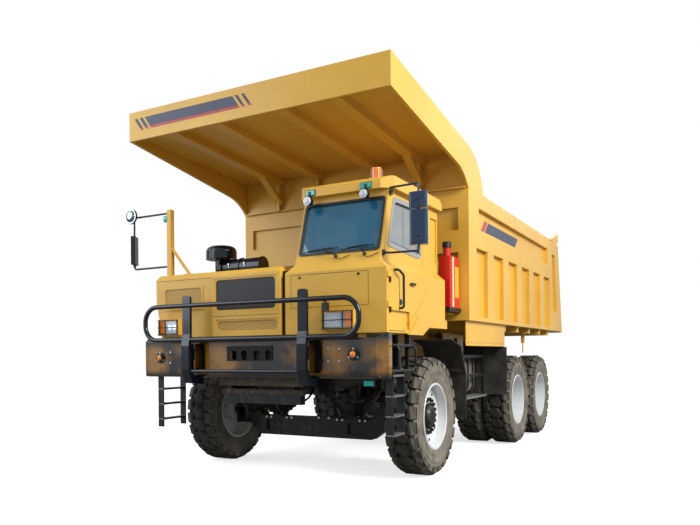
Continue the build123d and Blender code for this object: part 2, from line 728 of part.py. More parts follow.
def make_hoists():
    """Two barrels on one cross tube, and the stages that slide out of them."""
    length = math.hypot(HOIST_HEAD_Y - HOIST_FOOT_Y, HOIST_HEAD_Z - HOIST_FOOT_Z)
    tube_end = HOIST_X + HOIST_RADIUS
    cross = rod((-tube_end, HOIST_FOOT_Y, HOIST_FOOT_Z), (tube_end, HOIST_FOOT_Y, HOIST_FOOT_Z),
                HOIST_TUBE_RADIUS)
    barrels = cross
    for side in (-1, 1):
        x = side * HOIST_X
        barrels = barrels + hoist_part(x, 20, BARREL_START + 20, HOIST_RADIUS - 25, 0)
        barrels = barrels + hoist_part(x, BARREL_START, BARREL_END, HOIST_RADIUS, HOIST_RADIUS - HOIST_WALL)
        barrels = barrels + hoist_part(x, BARREL_START, BARREL_START + 30, HOIST_RADIUS, 0)
    node("hoist_barrels", barrels)
    outer = HOIST_RADIUS - HOIST_WALL - HOIST_FIT
    for stage in range(1, HOIST_STAGES):
        inner = outer - HOIST_WALL
        end = BARREL_END + stage * STAGE_STEP_OUT
        node(f"hoist_stage_{stage}",
             [hoist_part(side * HOIST_X, STAGE_START, end, outer, inner) for side in (-1, 1)])
        outer = inner - HOIST_FIT
    rods = []
    for side in (-1, 1):
        x = side * HOIST_X
        bar = hoist_part(x, STAGE_START, length, outer, 0)
        head = [(x + end * EYE_HALF_WIDTH, HOIST_HEAD_Y, HOIST_HEAD_Z) for end in (-1, 1)]
        pin = [(x + end * (EYE_HALF_WIDTH + EYE_STUD), HOIST_HEAD_Y, HOIST_HEAD_Z) for end in (-1, 1)]
        rods.append(bar + rod(*head, EYE_RADIUS) + rod(*pin, HEAD_PIN_RADIUS))
    node("hoist_rods", rods)


# Bed


RECESS_Y = (1420, 6060)
RECESS_Z = (3300, 3620)
FIELD_Y = (1300, 6250)
FIELD_Z = (2060, 3040)
FIELD_RIBS = 5
FIELD_RIB_WIDTH = 330
REAR_SLOT = (6480, 6760)
REAR_SLOT_Z = (2400, 3560)
RECESS_DEPTH = 60


def rear_y(z):
    """Where the side wall's leaning rear edge is at a height."""
    return BED_REAR_Y + BED_REAR_LEAN * (BED_TOP - z) / (BED_TOP - BED_BOTTOM)


def side_wall():
    """The left side wall: long upper recess, ribbed lower field and slotted rear post."""
    outline = [(BED_FRONT_Y, BED_BOTTOM), (rear_y(BED_BOTTOM), BED_BOTTOM), (rear_y(BED_TOP), BED_TOP),
               (BED_FRONT_Y, BED_TOP)]
    x1 = BED_HALF_WIDTH
    x0 = x1 - BED_WALL
    wall = prism_x(outline, x0, x1)
    deep = x1 - RECESS_DEPTH
    wall = wall - box(deep, x1, *RECESS_Y, *RECESS_Z)
    pitch = (FIELD_Y[1] - FIELD_Y[0] - FIELD_RIB_WIDTH * FIELD_RIBS) / (FIELD_RIBS + 1) + FIELD_RIB_WIDTH
    bay = pitch - FIELD_RIB_WIDTH
    for k in range(FIELD_RIBS + 1):
        y = FIELD_Y[0] + k * pitch
        wall = wall - box(deep, x1, y, y + bay, *FIELD_Z)
    slot = [(REAR_SLOT[0] + 60, REAR_SLOT_Z[0]), (REAR_SLOT[1] + 200, REAR_SLOT_Z[0]),
            (REAR_SLOT[1], REAR_SLOT_Z[1]), (REAR_SLOT[0], REAR_SLOT_Z[1])]
    wall = wall - prism_x(slot, deep, x1)
    coaming = box(x0, x0 + 25, CANOPY_REAR_Y + 60, BED_REAR_Y - 40, BED_TOP, BED_TOP + 70)
    return wall + coaming


HEADBOARD_PLATE = 40
HEADBOARD_POST = 60
HEADBOARD_BANDS = ((2000, 2080), (2325, 2635), (2946, 3257), (3567, BED_TOP))


def headboard():
    """The front wall with its raised cross bands between two corner posts."""
    inner = BED_HALF_WIDTH - BED_WALL
    y1 = BED_FRONT_Y + BED_WALL
    board = box(-inner, inner, y1 - HEADBOARD_PLATE, y1, BED_BOTTOM, BED_TOP)
    for z0, z1 in HEADBOARD_BANDS:
        board = board + box(-inner, inner, BED_FRONT_Y, y1 - HEADBOARD_PLATE, z0, z1)
    for side in (-1, 1):
        x0, x1 = sorted((side * inner, side * (inner - HEADBOARD_POST)))
        board = board + box(x0, x1, BED_FRONT_Y, y1 - HEADBOARD_PLATE, BED_BOTTOM, BED_TOP)
    return board


def bed_floor():
    """The floor plate between the walls."""
    inner = BED_HALF_WIDTH - BED_WALL
    return box(-inner, inner, BED_FRONT_Y + BED_WALL, rear_y(BED_BOTTOM + FLOOR_THICKNESS), BED_BOTTOM,
               BED_BOTTOM + FLOOR_THICKNESS)


TAILGATE_PIN_Y = 7060
TAILGATE_PIN_Z = 3960
TAILGATE_PIN_RADIUS = 32
TAILGATE_EAR = 45


def tailgate_ear():
    """The left ear on the wall's top rear corner that holds the tailgate's pin."""
    x1 = BED_HALF_WIDTH
    x0 = x1 - TAILGATE_EAR
    ear = prism_x([
        (BED_REAR_Y - 330, BED_TOP), (BED_REAR_Y, BED_TOP), (TAILGATE_PIN_Y + 70, TAILGATE_PIN_Z - 60),
        (TAILGATE_PIN_Y + 70, TAILGATE_PIN_Z + 50), (TAILGATE_PIN_Y + 30, TAILGATE_PIN_Z + 80),
        (TAILGATE_PIN_Y - 60, TAILGATE_PIN_Z + 80), (BED_REAR_Y - 330, BED_TOP + 90),
    ], x0, x1)
    pin = rod((x0 - 60, TAILGATE_PIN_Y, TAILGATE_PIN_Z), (x0 + 10, TAILGATE_PIN_Y, TAILGATE_PIN_Z),
              TAILGATE_PIN_RADIUS)
    return ear + pin


def make_bed_tub():
    left = side_wall()
    tub = fuse_all(headboard(), left, mirrored(left), bed_floor(), tailgate_ear(), mirrored(tailgate_ear()))
    node("bed_tub", tub)


BEAM_TOP_Z = BED_BOTTOM
BED_BEAM_END = 190
BOLSTERS_Y = (1300, 2150, 3000, 3850, 4700, 5550, 6300)
BOLSTER_WIDTH = 110
BOLSTER_DEPTH = 100
SKIRT_INSET = 70
SKIRT_X = BED_HALF_WIDTH - SKIRT_INSET
SKIRT_THICKNESS = 15
SKIRT_REAR_Y = 2970
SKIRT_BOTTOM = 1650
FLAP_WIDTH = 720
FLAP_INSET = 20
FLAP_X = (BED_HALF_WIDTH - FLAP_INSET - FLAP_WIDTH, BED_HALF_WIDTH - FLAP_INSET)
FLAP_Y = 2955
FLAP_THICKNESS = 15
FLAP_TOP = 1745
FLAP_BOTTOM = 870
HOIST_CHEEK = 22
CUSHION_REAR_Y = 6200
SEAT_GAP = 0.3


def bed_beam():
    """The left long beam, rounded about the hinge pin."""
    x0 = RAIL_OUTER_X - RAIL_WIDTH
    low = RAIL_TOP + BED_CUSHION
    beam = prism_x([
        (BED_FRONT_Y + 60, BED_BOTTOM), (BED_FRONT_Y + 60, low + 160), (BED_FRONT_Y + 260, low),
        (BED_HINGE_Y, low), (BED_HINGE_Y, BED_BOTTOM),
    ], x0, RAIL_OUTER_X)
    end = rod((x0, BED_HINGE_Y, BED_HINGE_Z), (RAIL_OUTER_X, BED_HINGE_Y, BED_HINGE_Z), BED_BEAM_END)
    end = end + box(x0, RAIL_OUTER_X, BED_HINGE_Y, BED_HINGE_Y + BED_BEAM_END, BED_HINGE_Z, BED_BOTTOM)
    bore = rod((x0, BED_HINGE_Y, BED_HINGE_Z), (RAIL_OUTER_X, BED_HINGE_Y, BED_HINGE_Z),
               BED_PIN_RADIUS + RUNNING_FIT)
    return beam + end - bore


def hoist_cheeks():
    """The two plates under the floor that take the left hoist's head."""
    plates = []
    reach = EYE_HALF_WIDTH + EYE_STUD + 5
    for x in (HOIST_X - reach - HOIST_CHEEK, HOIST_X + reach):
        plates.append(prism_x([
            (HOIST_HEAD_Y - 160, BED_BOTTOM), (HOIST_HEAD_Y - 80, HOIST_HEAD_Z - 60),
            (HOIST_HEAD_Y + 80, HOIST_HEAD_Z - 60),
            (HOIST_HEAD_Y + 420, BED_BOTTOM - 60), (HOIST_HEAD_Y + 420, BED_BOTTOM),
        ], x, x + HOIST_CHEEK))
    return plates


def make_underframe():
    """Long beams, cross bolsters, skirts, flap carriers and the hoists' head plates."""
    pieces = []
    x_in = RAIL_OUTER_X - RAIL_WIDTH
    for beam in both_sides(bed_beam()):
        pieces.append(beam)
    for y in BOLSTERS_Y:
        low = BED_BOTTOM - BOLSTER_DEPTH
        pieces.append(box(-x_in, x_in, y, y + BOLSTER_WIDTH, low, BED_BOTTOM))
        for x0, x1 in ((RAIL_OUTER_X, SKIRT_X), (-SKIRT_X, -RAIL_OUTER_X)):
            pieces.append(box(x0, x1, y, y + BOLSTER_WIDTH, low, BED_BOTTOM))
    for side in (-1, 1):
        x0, x1 = sorted((side * SKIRT_X, side * (SKIRT_X + SKIRT_THICKNESS)))
        pieces.append(box(x0, x1, BED_FRONT_Y + 20, SKIRT_REAR_Y, SKIRT_BOTTOM, BED_BOTTOM))
        x0, x1 = sorted((side * FLAP_X[0], side * SKIRT_X))
        pieces.append(box(x0, x1, FLAP_Y, FLAP_Y + FLAP_THICKNESS, FLAP_TOP, BED_BOTTOM))
    frame = fuse_all(*pieces)
    for plate in hoist_cheeks():
        frame = frame + plate + mirrored(plate)
    node("bed_underframe", frame)
    flap = box(*FLAP_X, FLAP_Y, FLAP_Y + FLAP_THICKNESS, FLAP_BOTTOM, FLAP_TOP)
    flap = flap - box(SKIRT_X - 1, BED_HALF_WIDTH, FLAP_Y - 5, FLAP_Y + 40, SKIRT_BOTTOM - 5, BED_BOTTOM)
    x0 = RAIL_OUTER_X - RAIL_WIDTH
    strip = box(x0 + 10, RAIL_OUTER_X - 10, BED_FRONT_Y + 300, CUSHION_REAR_Y, RAIL_TOP + SEAT_GAP,
                RAIL_TOP + BED_CUSHION)
    node("bed_rubbers", both_sides(flap), both_sides(strip))


def canopy_side_face(x):
    """The canopy's side outline: straight runs that turn down into the bed's wall."""
    low_front = (x, CANOPY_FRONT_Y, CANOPY_FRONT_BOTTOM)
    low_knee = (x, CANOPY_KNEE_Y, CANOPY_KNEE_Z)
    foot = (x, BED_FRONT_Y, BED_TOP)
    heel = (x, CANOPY_REAR_Y, BED_TOP)
    top_knee = (x, CANOPY_TOP_KNEE_Y, CANOPY_TOP_KNEE_Z)
    top_front = (x, CANOPY_FRONT_Y, CANOPY_FRONT_TOP)
    low_way = Vector(*low_knee) - Vector(*low_front)
    top_way = Vector(*top_knee) - Vector(*top_front)
    edges = [
        Line(low_front, low_knee), TangentArc(low_knee, foot, tangent=low_way), Line(foot, heel),
        TangentArc(top_knee, heel, tangent=top_way), Line(top_knee, top_front), Line(top_front, low_front),
    ]
    return make_face([edge.edge() for edge in edges])


def deck_z(y):
    """The underside of the canopy's deck, which falls evenly to the headboard."""
    front = CANOPY_FRONT_BOTTOM + CANOPY_RIB_DEPTH
    return front - DECK_DROP * (y - CANOPY_FRONT_Y) / CANOPY_REACH


def under_deck(y0, y1, top_gap, depth):
    """A (y, z) strip that follows the deck's underside from y0 to y1."""
    return [(y0, deck_z(y0) - top_gap), (y1, deck_z(y1) - top_gap),
            (y1, deck_z(y1) - top_gap - depth), (y0, deck_z(y0) - top_gap - depth)]


def canopy_rib(x):
    """One box rib below the deck, with a post down the headboard at its rear end."""
    y0, y1 = CANOPY_FRONT_Y + CANOPY_WALL, BED_FRONT_Y
    rib = prism_x(under_deck(y0, y1, 0, CANOPY_RIB_DEPTH), x - CANOPY_RIB_WIDTH / 2,
                  x + CANOPY_RIB_WIDTH / 2)
    post = box(x - CANOPY_POST / 2, x + CANOPY_POST / 2, y1 - CANOPY_RIB_DEPTH, y1, BED_TOP,
               deck_z(y1) - CANOPY_RIB_DEPTH / 2)
    return rib + post


def canopy_brace(x):
    """The strut from a rib's underside down to the headboard."""
    y0 = BED_FRONT_Y - BRACE_REACH
    top = deck_z(y0) - CANOPY_RIB_DEPTH + 5
    foot = top - BRACE_DROP
    return prism_x([
        (y0, top), (y0 + BRACE_DEPTH, top), (BED_FRONT_Y, foot + BRACE_DEPTH / 2),
        (BED_FRONT_Y, foot - BRACE_DEPTH / 2),
    ], x - BRACE_WIDTH / 2, x + BRACE_WIDTH / 2)


def make_canopy():
    """The tray over the cab: side plates, fascia, deck, the wall below it, box ribs and struts."""
    x0 = BED_HALF_WIDTH - CANOPY_WALL
    side = extrude(canopy_side_face(x0), amount=CANOPY_WALL, dir=(1, 0, 0))
    fascia = box(-x0, x0, CANOPY_FRONT_Y, CANOPY_FRONT_Y + CANOPY_WALL, CANOPY_FRONT_BOTTOM,
                 CANOPY_FRONT_TOP)
    wall_end = BED_FRONT_Y + CANOPY_WALL
    deck = prism_x(under_deck(CANOPY_FRONT_Y + CANOPY_WALL, wall_end, -DECK_THICKNESS, DECK_THICKNESS), -x0,
                   x0)
    wall = box(-x0, x0, BED_FRONT_Y, wall_end, BED_TOP, deck_z(wall_end) + DECK_THICKNESS / 2)
    flange = box(-x0, x0, BED_FRONT_Y - FLANGE_REACH, BED_FRONT_Y, BED_TOP, BED_TOP + FLANGE_THICKNESS)
    tray = fuse_all(side, mirrored(side), fascia, deck, wall, flange)
    for x in CANOPY_RIBS_X:
        tray = tray + canopy_rib(x)
    for x in CANOPY_BRACED_X:
        tray = tray + canopy_brace(x)
    node("bed_canopy", tray)


TAILGATE_THICKNESS = 150
TAILGATE_SKIN = 30
TAILGATE_GAP = 8
TAILGATE_SIDE_GAP = 8


def make_tailgate():
    """The top-hung tailgate: skin, frame ribs and the hinge arms at its top corners."""
    half = BED_HALF_WIDTH
    low = BED_BOTTOM - 20
    y_low = rear_y(low) + TAILGATE_GAP
    y_top = rear_y(BED_TOP) + TAILGATE_GAP
    gate = prism_x([(y_low, low), (y_low + TAILGATE_THICKNESS, low),
                    (y_top + TAILGATE_THICKNESS, BED_TOP - 10), (y_top, BED_TOP - 10)],
                   -half, half)
    lean = (y_low - y_top) / (BED_TOP - low)
    bays = 6
    rib = 120
    pitch = (2 * half - rib) / bays
    z0, z1 = low + 160, BED_TOP - 190
    for k in range(bays):
        x = -half + rib + k * pitch
        y_a = y_low - lean * (z0 - low) + TAILGATE_SKIN
        y_b = y_low - lean * (z1 - low) + TAILGATE_SKIN
        depth = TAILGATE_THICKNESS
        gate = gate - prism_x([(y_a, z0), (y_a + depth, z0), (y_b + depth, z1), (y_b, z1)], x,
                              x + pitch - rib)
    arm_x1 = BED_HALF_WIDTH - TAILGATE_EAR - TAILGATE_SIDE_GAP
    arm_x0 = arm_x1 - 40
    for side in (-1, 1):
        x0, x1 = sorted((side * arm_x0, side * arm_x1))
        arm = prism_x([
            (TAILGATE_PIN_Y - 55, TAILGATE_PIN_Z - 40), (y_top + 20, BED_TOP - 60),
            (y_top + TAILGATE_THICKNESS, BED_TOP - 60),
            (TAILGATE_PIN_Y + 60, TAILGATE_PIN_Z + 50), (TAILGATE_PIN_Y - 55, TAILGATE_PIN_Z + 50),
        ], x0, x1)
        bore = rod((x0 - 5, TAILGATE_PIN_Y, TAILGATE_PIN_Z), (x1 + 5, TAILGATE_PIN_Y, TAILGATE_PIN_Z),
                   TAILGATE_PIN_RADIUS + RUNNING_FIT)
        gate = gate + arm - bore
    node("tailgate", gate)


# Cab


def cab_outer():
    """The cab's outside: lower box over the wheel arch, waist chamfer, cabin and roof."""
    low = prism_x([
        (CAB_FRONT_Y, CAB_BOTTOM), (-500, CAB_BOTTOM), (-280, CAB_ARCH_Z), (CAB_REAR_Y, CAB_ARCH_Z),
        (CAB_REAR_Y, CAB_WAIST_LOW), (CAB_FRONT_Y, CAB_WAIST_LOW),
    ], CAB_RIGHT_X, CAB_LEFT_X)
    x0, x1 = CAB_RIGHT_X + CAB_INSET, CAB_LEFT_X - CAB_INSET
    waist_front = CAB_FRONT_Y + 50
    faces = []
    for a, b, front, z in ((CAB_RIGHT_X, CAB_LEFT_X, CAB_FRONT_Y, CAB_WAIST_LOW),
                           (x0, x1, waist_front, CAB_WAIST_HIGH)):
        middle = Pos((a + b) / 2, (front + CAB_REAR_Y) / 2, z)
        faces.append(middle * Rectangle(b - a, CAB_REAR_Y - front))
    waist = loft(faces)
    high = prism_x([
        (waist_front, CAB_WAIST_HIGH), (CAB_REAR_Y, CAB_WAIST_HIGH), (CAB_REAR_Y, CAB_ROOF_UNDER),
        (SCREEN_HEAD_Y + 10, CAB_ROOF_UNDER), (SCREEN_HEAD_Y, SCREEN_HEAD_Z), (SCREEN_FOOT_Y, SCREEN_FOOT_Z),
    ], x0, x1)
    roof = prism_x([
        (VISOR_FRONT_Y, CAB_ROOF_UNDER), (CAB_REAR_Y + 20, CAB_ROOF_UNDER),
        (CAB_REAR_Y + 20, CAB_ROOF_TOP - 60),
        (CAB_REAR_Y - 60, CAB_ROOF_TOP), (VISOR_FRONT_Y + 70, CAB_ROOF_TOP),
        (VISOR_FRONT_Y, CAB_ROOF_TOP - 40),
    ], x0 - 60, x1 + 60)
    return low + waist + high + roof


def cab_cavity():
    """The space inside the cab."""
    x0, x1 = CAB_RIGHT_X + CAB_WALL, CAB_LEFT_X - CAB_WALL
    floor = CAB_ARCH_Z + CAB_WALL
    front = CAB_FRONT_Y + CAB_WALL
    rear = CAB_REAR_Y - CAB_WALL
    low = box(x0, x1, front, rear, floor, CAB_WAIST_LOW - 15)
    u0, u1 = x0 + CAB_INSET, x1 - CAB_INSET
    high = prism_x([
        (front + 60, CAB_WAIST_LOW - 15), (rear, CAB_WAIST_LOW - 15), (rear, CAB_ROOF_UNDER - 20),
        (SCREEN_HEAD_Y + 70, CAB_ROOF_UNDER - 20),
        (SCREEN_HEAD_Y + 60, SCREEN_HEAD_Z), (SCREEN_FOOT_Y + 60, SCREEN_FOOT_Z),
    ], u0, u1)
    return low + high


DOOR_OUTLINE = [
    (-1440, 1805), (-985, 1805), (-745, 1975), (-330, 2245), (-290, 2500), (-160, 2590), (-160, 3385),
    (-1120, 3385), (-1340, 2690), (-1400, 2590), (-1440, 2500),
]
SIDE_WINDOW = [(-1215, 2790), (-280, 2745), (-240, 2830), (-330, 3335), (-1050, 3320)]
SCREEN_MARGIN = 40


def outline_grown(points, margin):
    """A closed (y, z) outline grown on all sides by a margin."""
    face = make_face(Polyline(*[(y, z) for y, z in points], close=True).edges())
    grown = offset(face, amount=margin, kind=Kind.INTERSECTION)
    wire = grown.faces()[0].outer_wire()
    return [tuple(edge.position_at(0))[:2] for edge in wire.order_edges()]


def screen_opening():
    """The windscreen's opening through the sloping front wall."""
    x0 = CAB_RIGHT_X + CAB_INSET + SCREEN_MARGIN
    x1 = CAB_LEFT_X - CAB_INSET - SCREEN_MARGIN
    slope = (SCREEN_HEAD_Y - SCREEN_FOOT_Y) / (SCREEN_HEAD_Z - SCREEN_FOOT_Z)
    z0, z1 = SCREEN_FOOT_Z + 25, SCREEN_HEAD_Z - 15

    def y_at(z):
        return SCREEN_FOOT_Y + slope * (z - SCREEN_FOOT_Z)
    return prism_x([(y_at(z0) - 60, z0), (y_at(z0) + 130, z0), (y_at(z1) + 130, z1), (y_at(z1) - 60, z1)],
                   x0, x1)


def screen_glass():
    """The windscreen pane, set in the middle of its opening."""
    x0 = CAB_RIGHT_X + CAB_INSET + SCREEN_MARGIN
    x1 = CAB_LEFT_X - CAB_INSET - SCREEN_MARGIN
    slope = (SCREEN_HEAD_Y - SCREEN_FOOT_Y) / (SCREEN_HEAD_Z - SCREEN_FOOT_Z)
    z0, z1 = SCREEN_FOOT_Z + 25, SCREEN_HEAD_Z - 15

    def y_at(z):
        return SCREEN_FOOT_Y + slope * (z - SCREEN_FOOT_Z) + 15
    return prism_x([(y_at(z0), z0), (y_at(z0) + GLASS_THICKNESS, z0), (y_at(z1) + GLASS_THICKNESS, z1),
                    (y_at(z1), z1)], x0, x1)


REAR_WINDOW_X = (700, 1440)
REAR_WINDOW_Z = (2750, 3250)
RIGHT_WINDOW = [(-1100, 2760), (120, 2760), (120, 3320), (-990, 3320)]
FENDER = [(-930, 1764), (-603, 1997), (370, 1975), (370, 1863), (-280, 1863), (-500, 1764)]


DOOR_AXIS_X = CAB_LEFT_X + 12.5
DOOR_AXIS_Y = -1428
DOOR_HINGES_Z = (2000, 2330)
HINGE_LENGTH = 60
HINGE_PLAY = 0.3
HINGE_RADIUS = 12


def door_barrel(z):
    """One knuckle of the door's hinges."""
    return rod((DOOR_AXIS_X, DOOR_AXIS_Y, z), (DOOR_AXIS_X, DOOR_AXIS_Y, z + HINGE_LENGTH), HINGE_RADIUS)


def door_waist_step(door_side):
    """What is left out of the door's edge inside its waist, so that it swings clear of the shell."""
    face_x = CAB_LEFT_X - CAB_WALL - 5
    inside = prism_y([
        (door_side, CAB_WAIST_LOW - 22), (face_x, CAB_WAIST_LOW - 22), (face_x, CAB_WAIST_LOW - 6),
        (face_x - 90, CAB_WAIST_HIGH - 15), (door_side, CAB_WAIST_HIGH - 15),
    ], CAB_FRONT_Y, CAB_REAR_Y)
    core = prism_x(outline_grown(DOOR_OUTLINE, -DOOR_SEAL_STEP), door_side - 5, CAB_LEFT_X + 5)
    return inside - core


def door_space(outline, door_side, panel_x):
    """The space of the door: through the wall above the cab's floor, and one panel deep below it."""
    whole = prism_x(outline, door_side, CAB_LEFT_X + 10)
    below = box(door_side - 5, panel_x, CAB_FRONT_Y - 5, CAB_REAR_Y, CAB_BOTTOM - 5, CAB_ARCH_Z + CAB_WALL)
    return whole - below


STEP_POCKET = (-1390, -850, 1822, 2030)
STEP_POCKET_DEPTH = 30
SIDE_RECESS = (120, 350, 2720, 3300)
SIDE_RECESS_DEPTH = 22
VISOR_CORNER = (135, 110)


def cab_side_recesses():
    """The step pocket, the shallow panel behind the door and the visor's slanted corners."""
    pocket = box(CAB_LEFT_X - STEP_POCKET_DEPTH, CAB_LEFT_X + 5, *STEP_POCKET)
    side_x = CAB_LEFT_X - CAB_INSET
    panel = box(side_x - SIDE_RECESS_DEPTH, side_x + 5, *SIDE_RECESS)
    result = pocket + panel
    for middle, side in ((CAB_RIGHT_X + CAB_INSET - 60, 1), (side_x + 60, -1)):
        result = result + prism_z([
            (middle - 5 * side, VISOR_FRONT_Y - 5), (middle + side * VISOR_CORNER[0], VISOR_FRONT_Y - 5),
            (middle - 5 * side, VISOR_FRONT_Y + VISOR_CORNER[1]),
        ], CAB_ROOF_UNDER - 5, CAB_ROOF_TOP + 5)
    return result


def make_cab():
    """Shell, door and glass, each cut from one thick-walled form."""
    shell = cab_outer() - cab_cavity() - screen_opening() - cab_side_recesses()
    door_side = CAB_LEFT_X - CAB_INSET - CAB_WALL
    panel_x = CAB_LEFT_X - CAB_WALL
    grown = outline_grown(DOOR_OUTLINE, DOOR_GAP)
    door = shell & door_space(DOOR_OUTLINE, door_side, panel_x)
    shell = shell - door_space(grown, door_side - DOOR_GAP, panel_x - DOOR_GAP)
    door = door - prism_x(SIDE_WINDOW, door_side - 5, CAB_LEFT_X) - door_waist_step(door_side - DOOR_GAP)
    x0, x1 = CAB_RIGHT_X + CAB_INSET, CAB_LEFT_X - CAB_INSET
    shell = shell - prism_x(RIGHT_WINDOW, x0 - 5, x0 + CAB_WALL + 5)
    shell = shell - box(*REAR_WINDOW_X, CAB_REAR_Y - CAB_WALL - 5, CAB_REAR_Y + 5, *REAR_WINDOW_Z)
    fender = prism_x(FENDER, CAB_LEFT_X, CAB_LEFT_X + 30)
    shell = shell + fender
    for z in DOOR_HINGES_Z:
        top = z + HINGE_LENGTH + HINGE_PLAY
        edge = DOOR_OUTLINE[0][0] - DOOR_GAP
        leaf = box(CAB_LEFT_X, DOOR_AXIS_X + 5, CAB_FRONT_Y + 10, edge - 1, top, top + HINGE_LENGTH)
        arm = box(DOOR_AXIS_X - 7, DOOR_AXIS_X + 5, edge - 5, DOOR_AXIS_Y, top, top + HINGE_LENGTH)
        shell = shell + leaf + arm + door_barrel(top)
    node("cab_shell", shell)
    rear = box(*REAR_WINDOW_X, CAB_REAR_Y - 30, CAB_REAR_Y - 30 + GLASS_THICKNESS, *REAR_WINDOW_Z)
    right = prism_x(RIGHT_WINDOW, x0 + 20, x0 + 20 + GLASS_THICKNESS)
    node("cab_glass", screen_glass(), rear, right)
    handle = bent_rod([
        (CAB_LEFT_X - 5, -1290, 2480), (CAB_LEFT_X + 55, -1290, 2480), (CAB_LEFT_X + 55, -1150, 2430),
        (CAB_LEFT_X + 55, -1150, 2060), (CAB_LEFT_X - 5, -1150, 2060),
    ], 14, 30)
    door = door + handle
    for z in DOOR_HINGES_Z:
        leaf = box(CAB_LEFT_X - 5, DOOR_AXIS_X, DOOR_AXIS_Y - 5, DOOR_AXIS_Y + 8, z, z + HINGE_LENGTH)
        door = door + door_barrel(z) + leaf
    node("cab_door", door)
    pane = prism_x(SIDE_WINDOW, x1 - 25, x1 - 25 + GLASS_THICKNESS)
    node("door_glass", pane)


def make_cab_interior():
    """Seat, dashboard and steering wheel, as seen through the glass."""
    floor = CAB_ARCH_Z + CAB_WALL
    x = (CAB_RIGHT_X + CAB_LEFT_X) / 2 + 130
    base = box(x - 200, x + 200, -520, -120, floor, floor + 330)
    cushion = box(x - 250, x + 250, -600, -80, floor + 330, floor + 470)
    back = prism_x([(-200, floor + 470), (-80, floor + 470), (20, floor + 1150), (-90, floor + 1150)],
                   x - 240, x + 240)
    dash = prism_x([
        (CAB_FRONT_Y + CAB_WALL, floor), (-1230, floor), (-1120, floor + 560), (-1180, 2480),
        (CAB_FRONT_Y + CAB_WALL, 2480),
    ], CAB_RIGHT_X + CAB_WALL, CAB_LEFT_X - CAB_WALL - 40)
    column = rod((x, -1150, floor + 480), (x, -930, floor + 720), 32)
    axis = Vector(0, 220, 240).normalized()
    centre = Vector(x, -930, floor + 720)
    ring = Plane(origin=centre, z_dir=axis) * Torus(215, 17)
    spoke = Plane(origin=centre, z_dir=axis) * Box(420, 44, 24)
    node("cab_interior", base + cushion + back, dash + column + ring + spoke)


# Hood


def make_hood():
    """The engine hood with its raised grille housing, open below."""
    side = [
        (-1505, CAB_BOTTOM), (-1530, 1950), (-1590, 2235), (HOOD_RIGHT_X, HOOD_TOP - HOOD_CHAMFER),
        (HOOD_RIGHT_X + 35, HOOD_TOP), (HOOD_LEFT_X - 35, HOOD_TOP), (HOOD_LEFT_X, HOOD_TOP - HOOD_CHAMFER),
        (HOOD_LEFT_X, CAB_BOTTOM),
    ]
    outer = prism_y(side, CAB_FRONT_Y, HOOD_REAR_Y)
    wedge = prism_x([
        (CAB_FRONT_Y - 5, HOOD_TOP - HOOD_CHAMFER), (CAB_FRONT_Y, HOOD_TOP - HOOD_CHAMFER),
        (CAB_FRONT_Y + 50, HOOD_TOP),
        (CAB_FRONT_Y + 50, HOOD_TOP + 5), (CAB_FRONT_Y - 5, HOOD_TOP + 5),
    ], HOOD_RIGHT_X - 5, HOOD_LEFT_X + 5)
    outer = outer - wedge
    arch = prism_x([(-450, CAB_BOTTOM - 5), (-280, CAB_ARCH_Z), (HOOD_REAR_Y + 5, CAB_ARCH_Z),
                    (HOOD_REAR_Y + 5, CAB_BOTTOM - 5)],
                   HOOD_RIGHT_X - 5, HOOD_LEFT_X + 5)
    outer = outer - arch
    wall = HOOD_WALL
    cavity = prism_y([
        (-1475, CAB_BOTTOM - 5), (-1498, 1950), (-1558, 2235),
        (HOOD_RIGHT_X + 32, HOOD_TOP - HOOD_CHAMFER - wall),
        (HOOD_RIGHT_X + 50, HOOD_TOP - wall), (HOOD_LEFT_X - 50, HOOD_TOP - wall),
        (HOOD_LEFT_X - wall, HOOD_TOP - HOOD_CHAMFER - wall), (HOOD_LEFT_X - wall, CAB_BOTTOM - 5),
    ], CAB_FRONT_Y + 85, HOOD_REAR_Y - wall)
    house = prism_x([
        (CAB_FRONT_Y - 20, CAB_BOTTOM), (CAB_FRONT_Y, CAB_BOTTOM), (CAB_FRONT_Y, HOOD_TOP - HOOD_CHAMFER),
        (CAB_FRONT_Y - 20, HOOD_TOP - HOOD_CHAMFER),
    ], GRILLE_RIGHT_X, HOOD_LEFT_X)
    hood = outer - cavity + house
    for x0, x1, z0, z1 in GRILLES:
        hood = hood - box(x0, x1, CAB_FRONT_Y - 40, CAB_FRONT_Y + 90, z0, z1)
    node("hood", hood)


GRILLES = ((-620, 305, 2085, 2500), (-590, 330, 1830, 1985), (-1453, -805, 2133, 2425))
GRILLE_FRAME = 20
GRILLE_ROUND = 45
GRILLE_OUT = 12
GRILLE_IN = 30
MESH_PLATE = 6


def make_grilles():
    """Framed mesh panels with rounded corners that fill the hood's three openings."""
    grilles = []
    y0, y1 = CAB_FRONT_Y - GRILLE_OUT, CAB_FRONT_Y + GRILLE_IN
    for x0, x1, z0, z1 in GRILLES:
        inner = (x0 + GRILLE_FRAME, x1 - GRILLE_FRAME, z0 + GRILLE_FRAME, z1 - GRILLE_FRAME)
        frame = box(x0, x1, y0, y1, z0, z1) - round_hole(inner, GRILLE_ROUND, y0 - 5, y1 + 5)
        plate = box(x0, x1, CAB_FRONT_Y, CAB_FRONT_Y + MESH_PLATE, z0, z1)
        grilles.append(frame + plate)
    node("hood_grilles", grilles)


# Bumper and guard


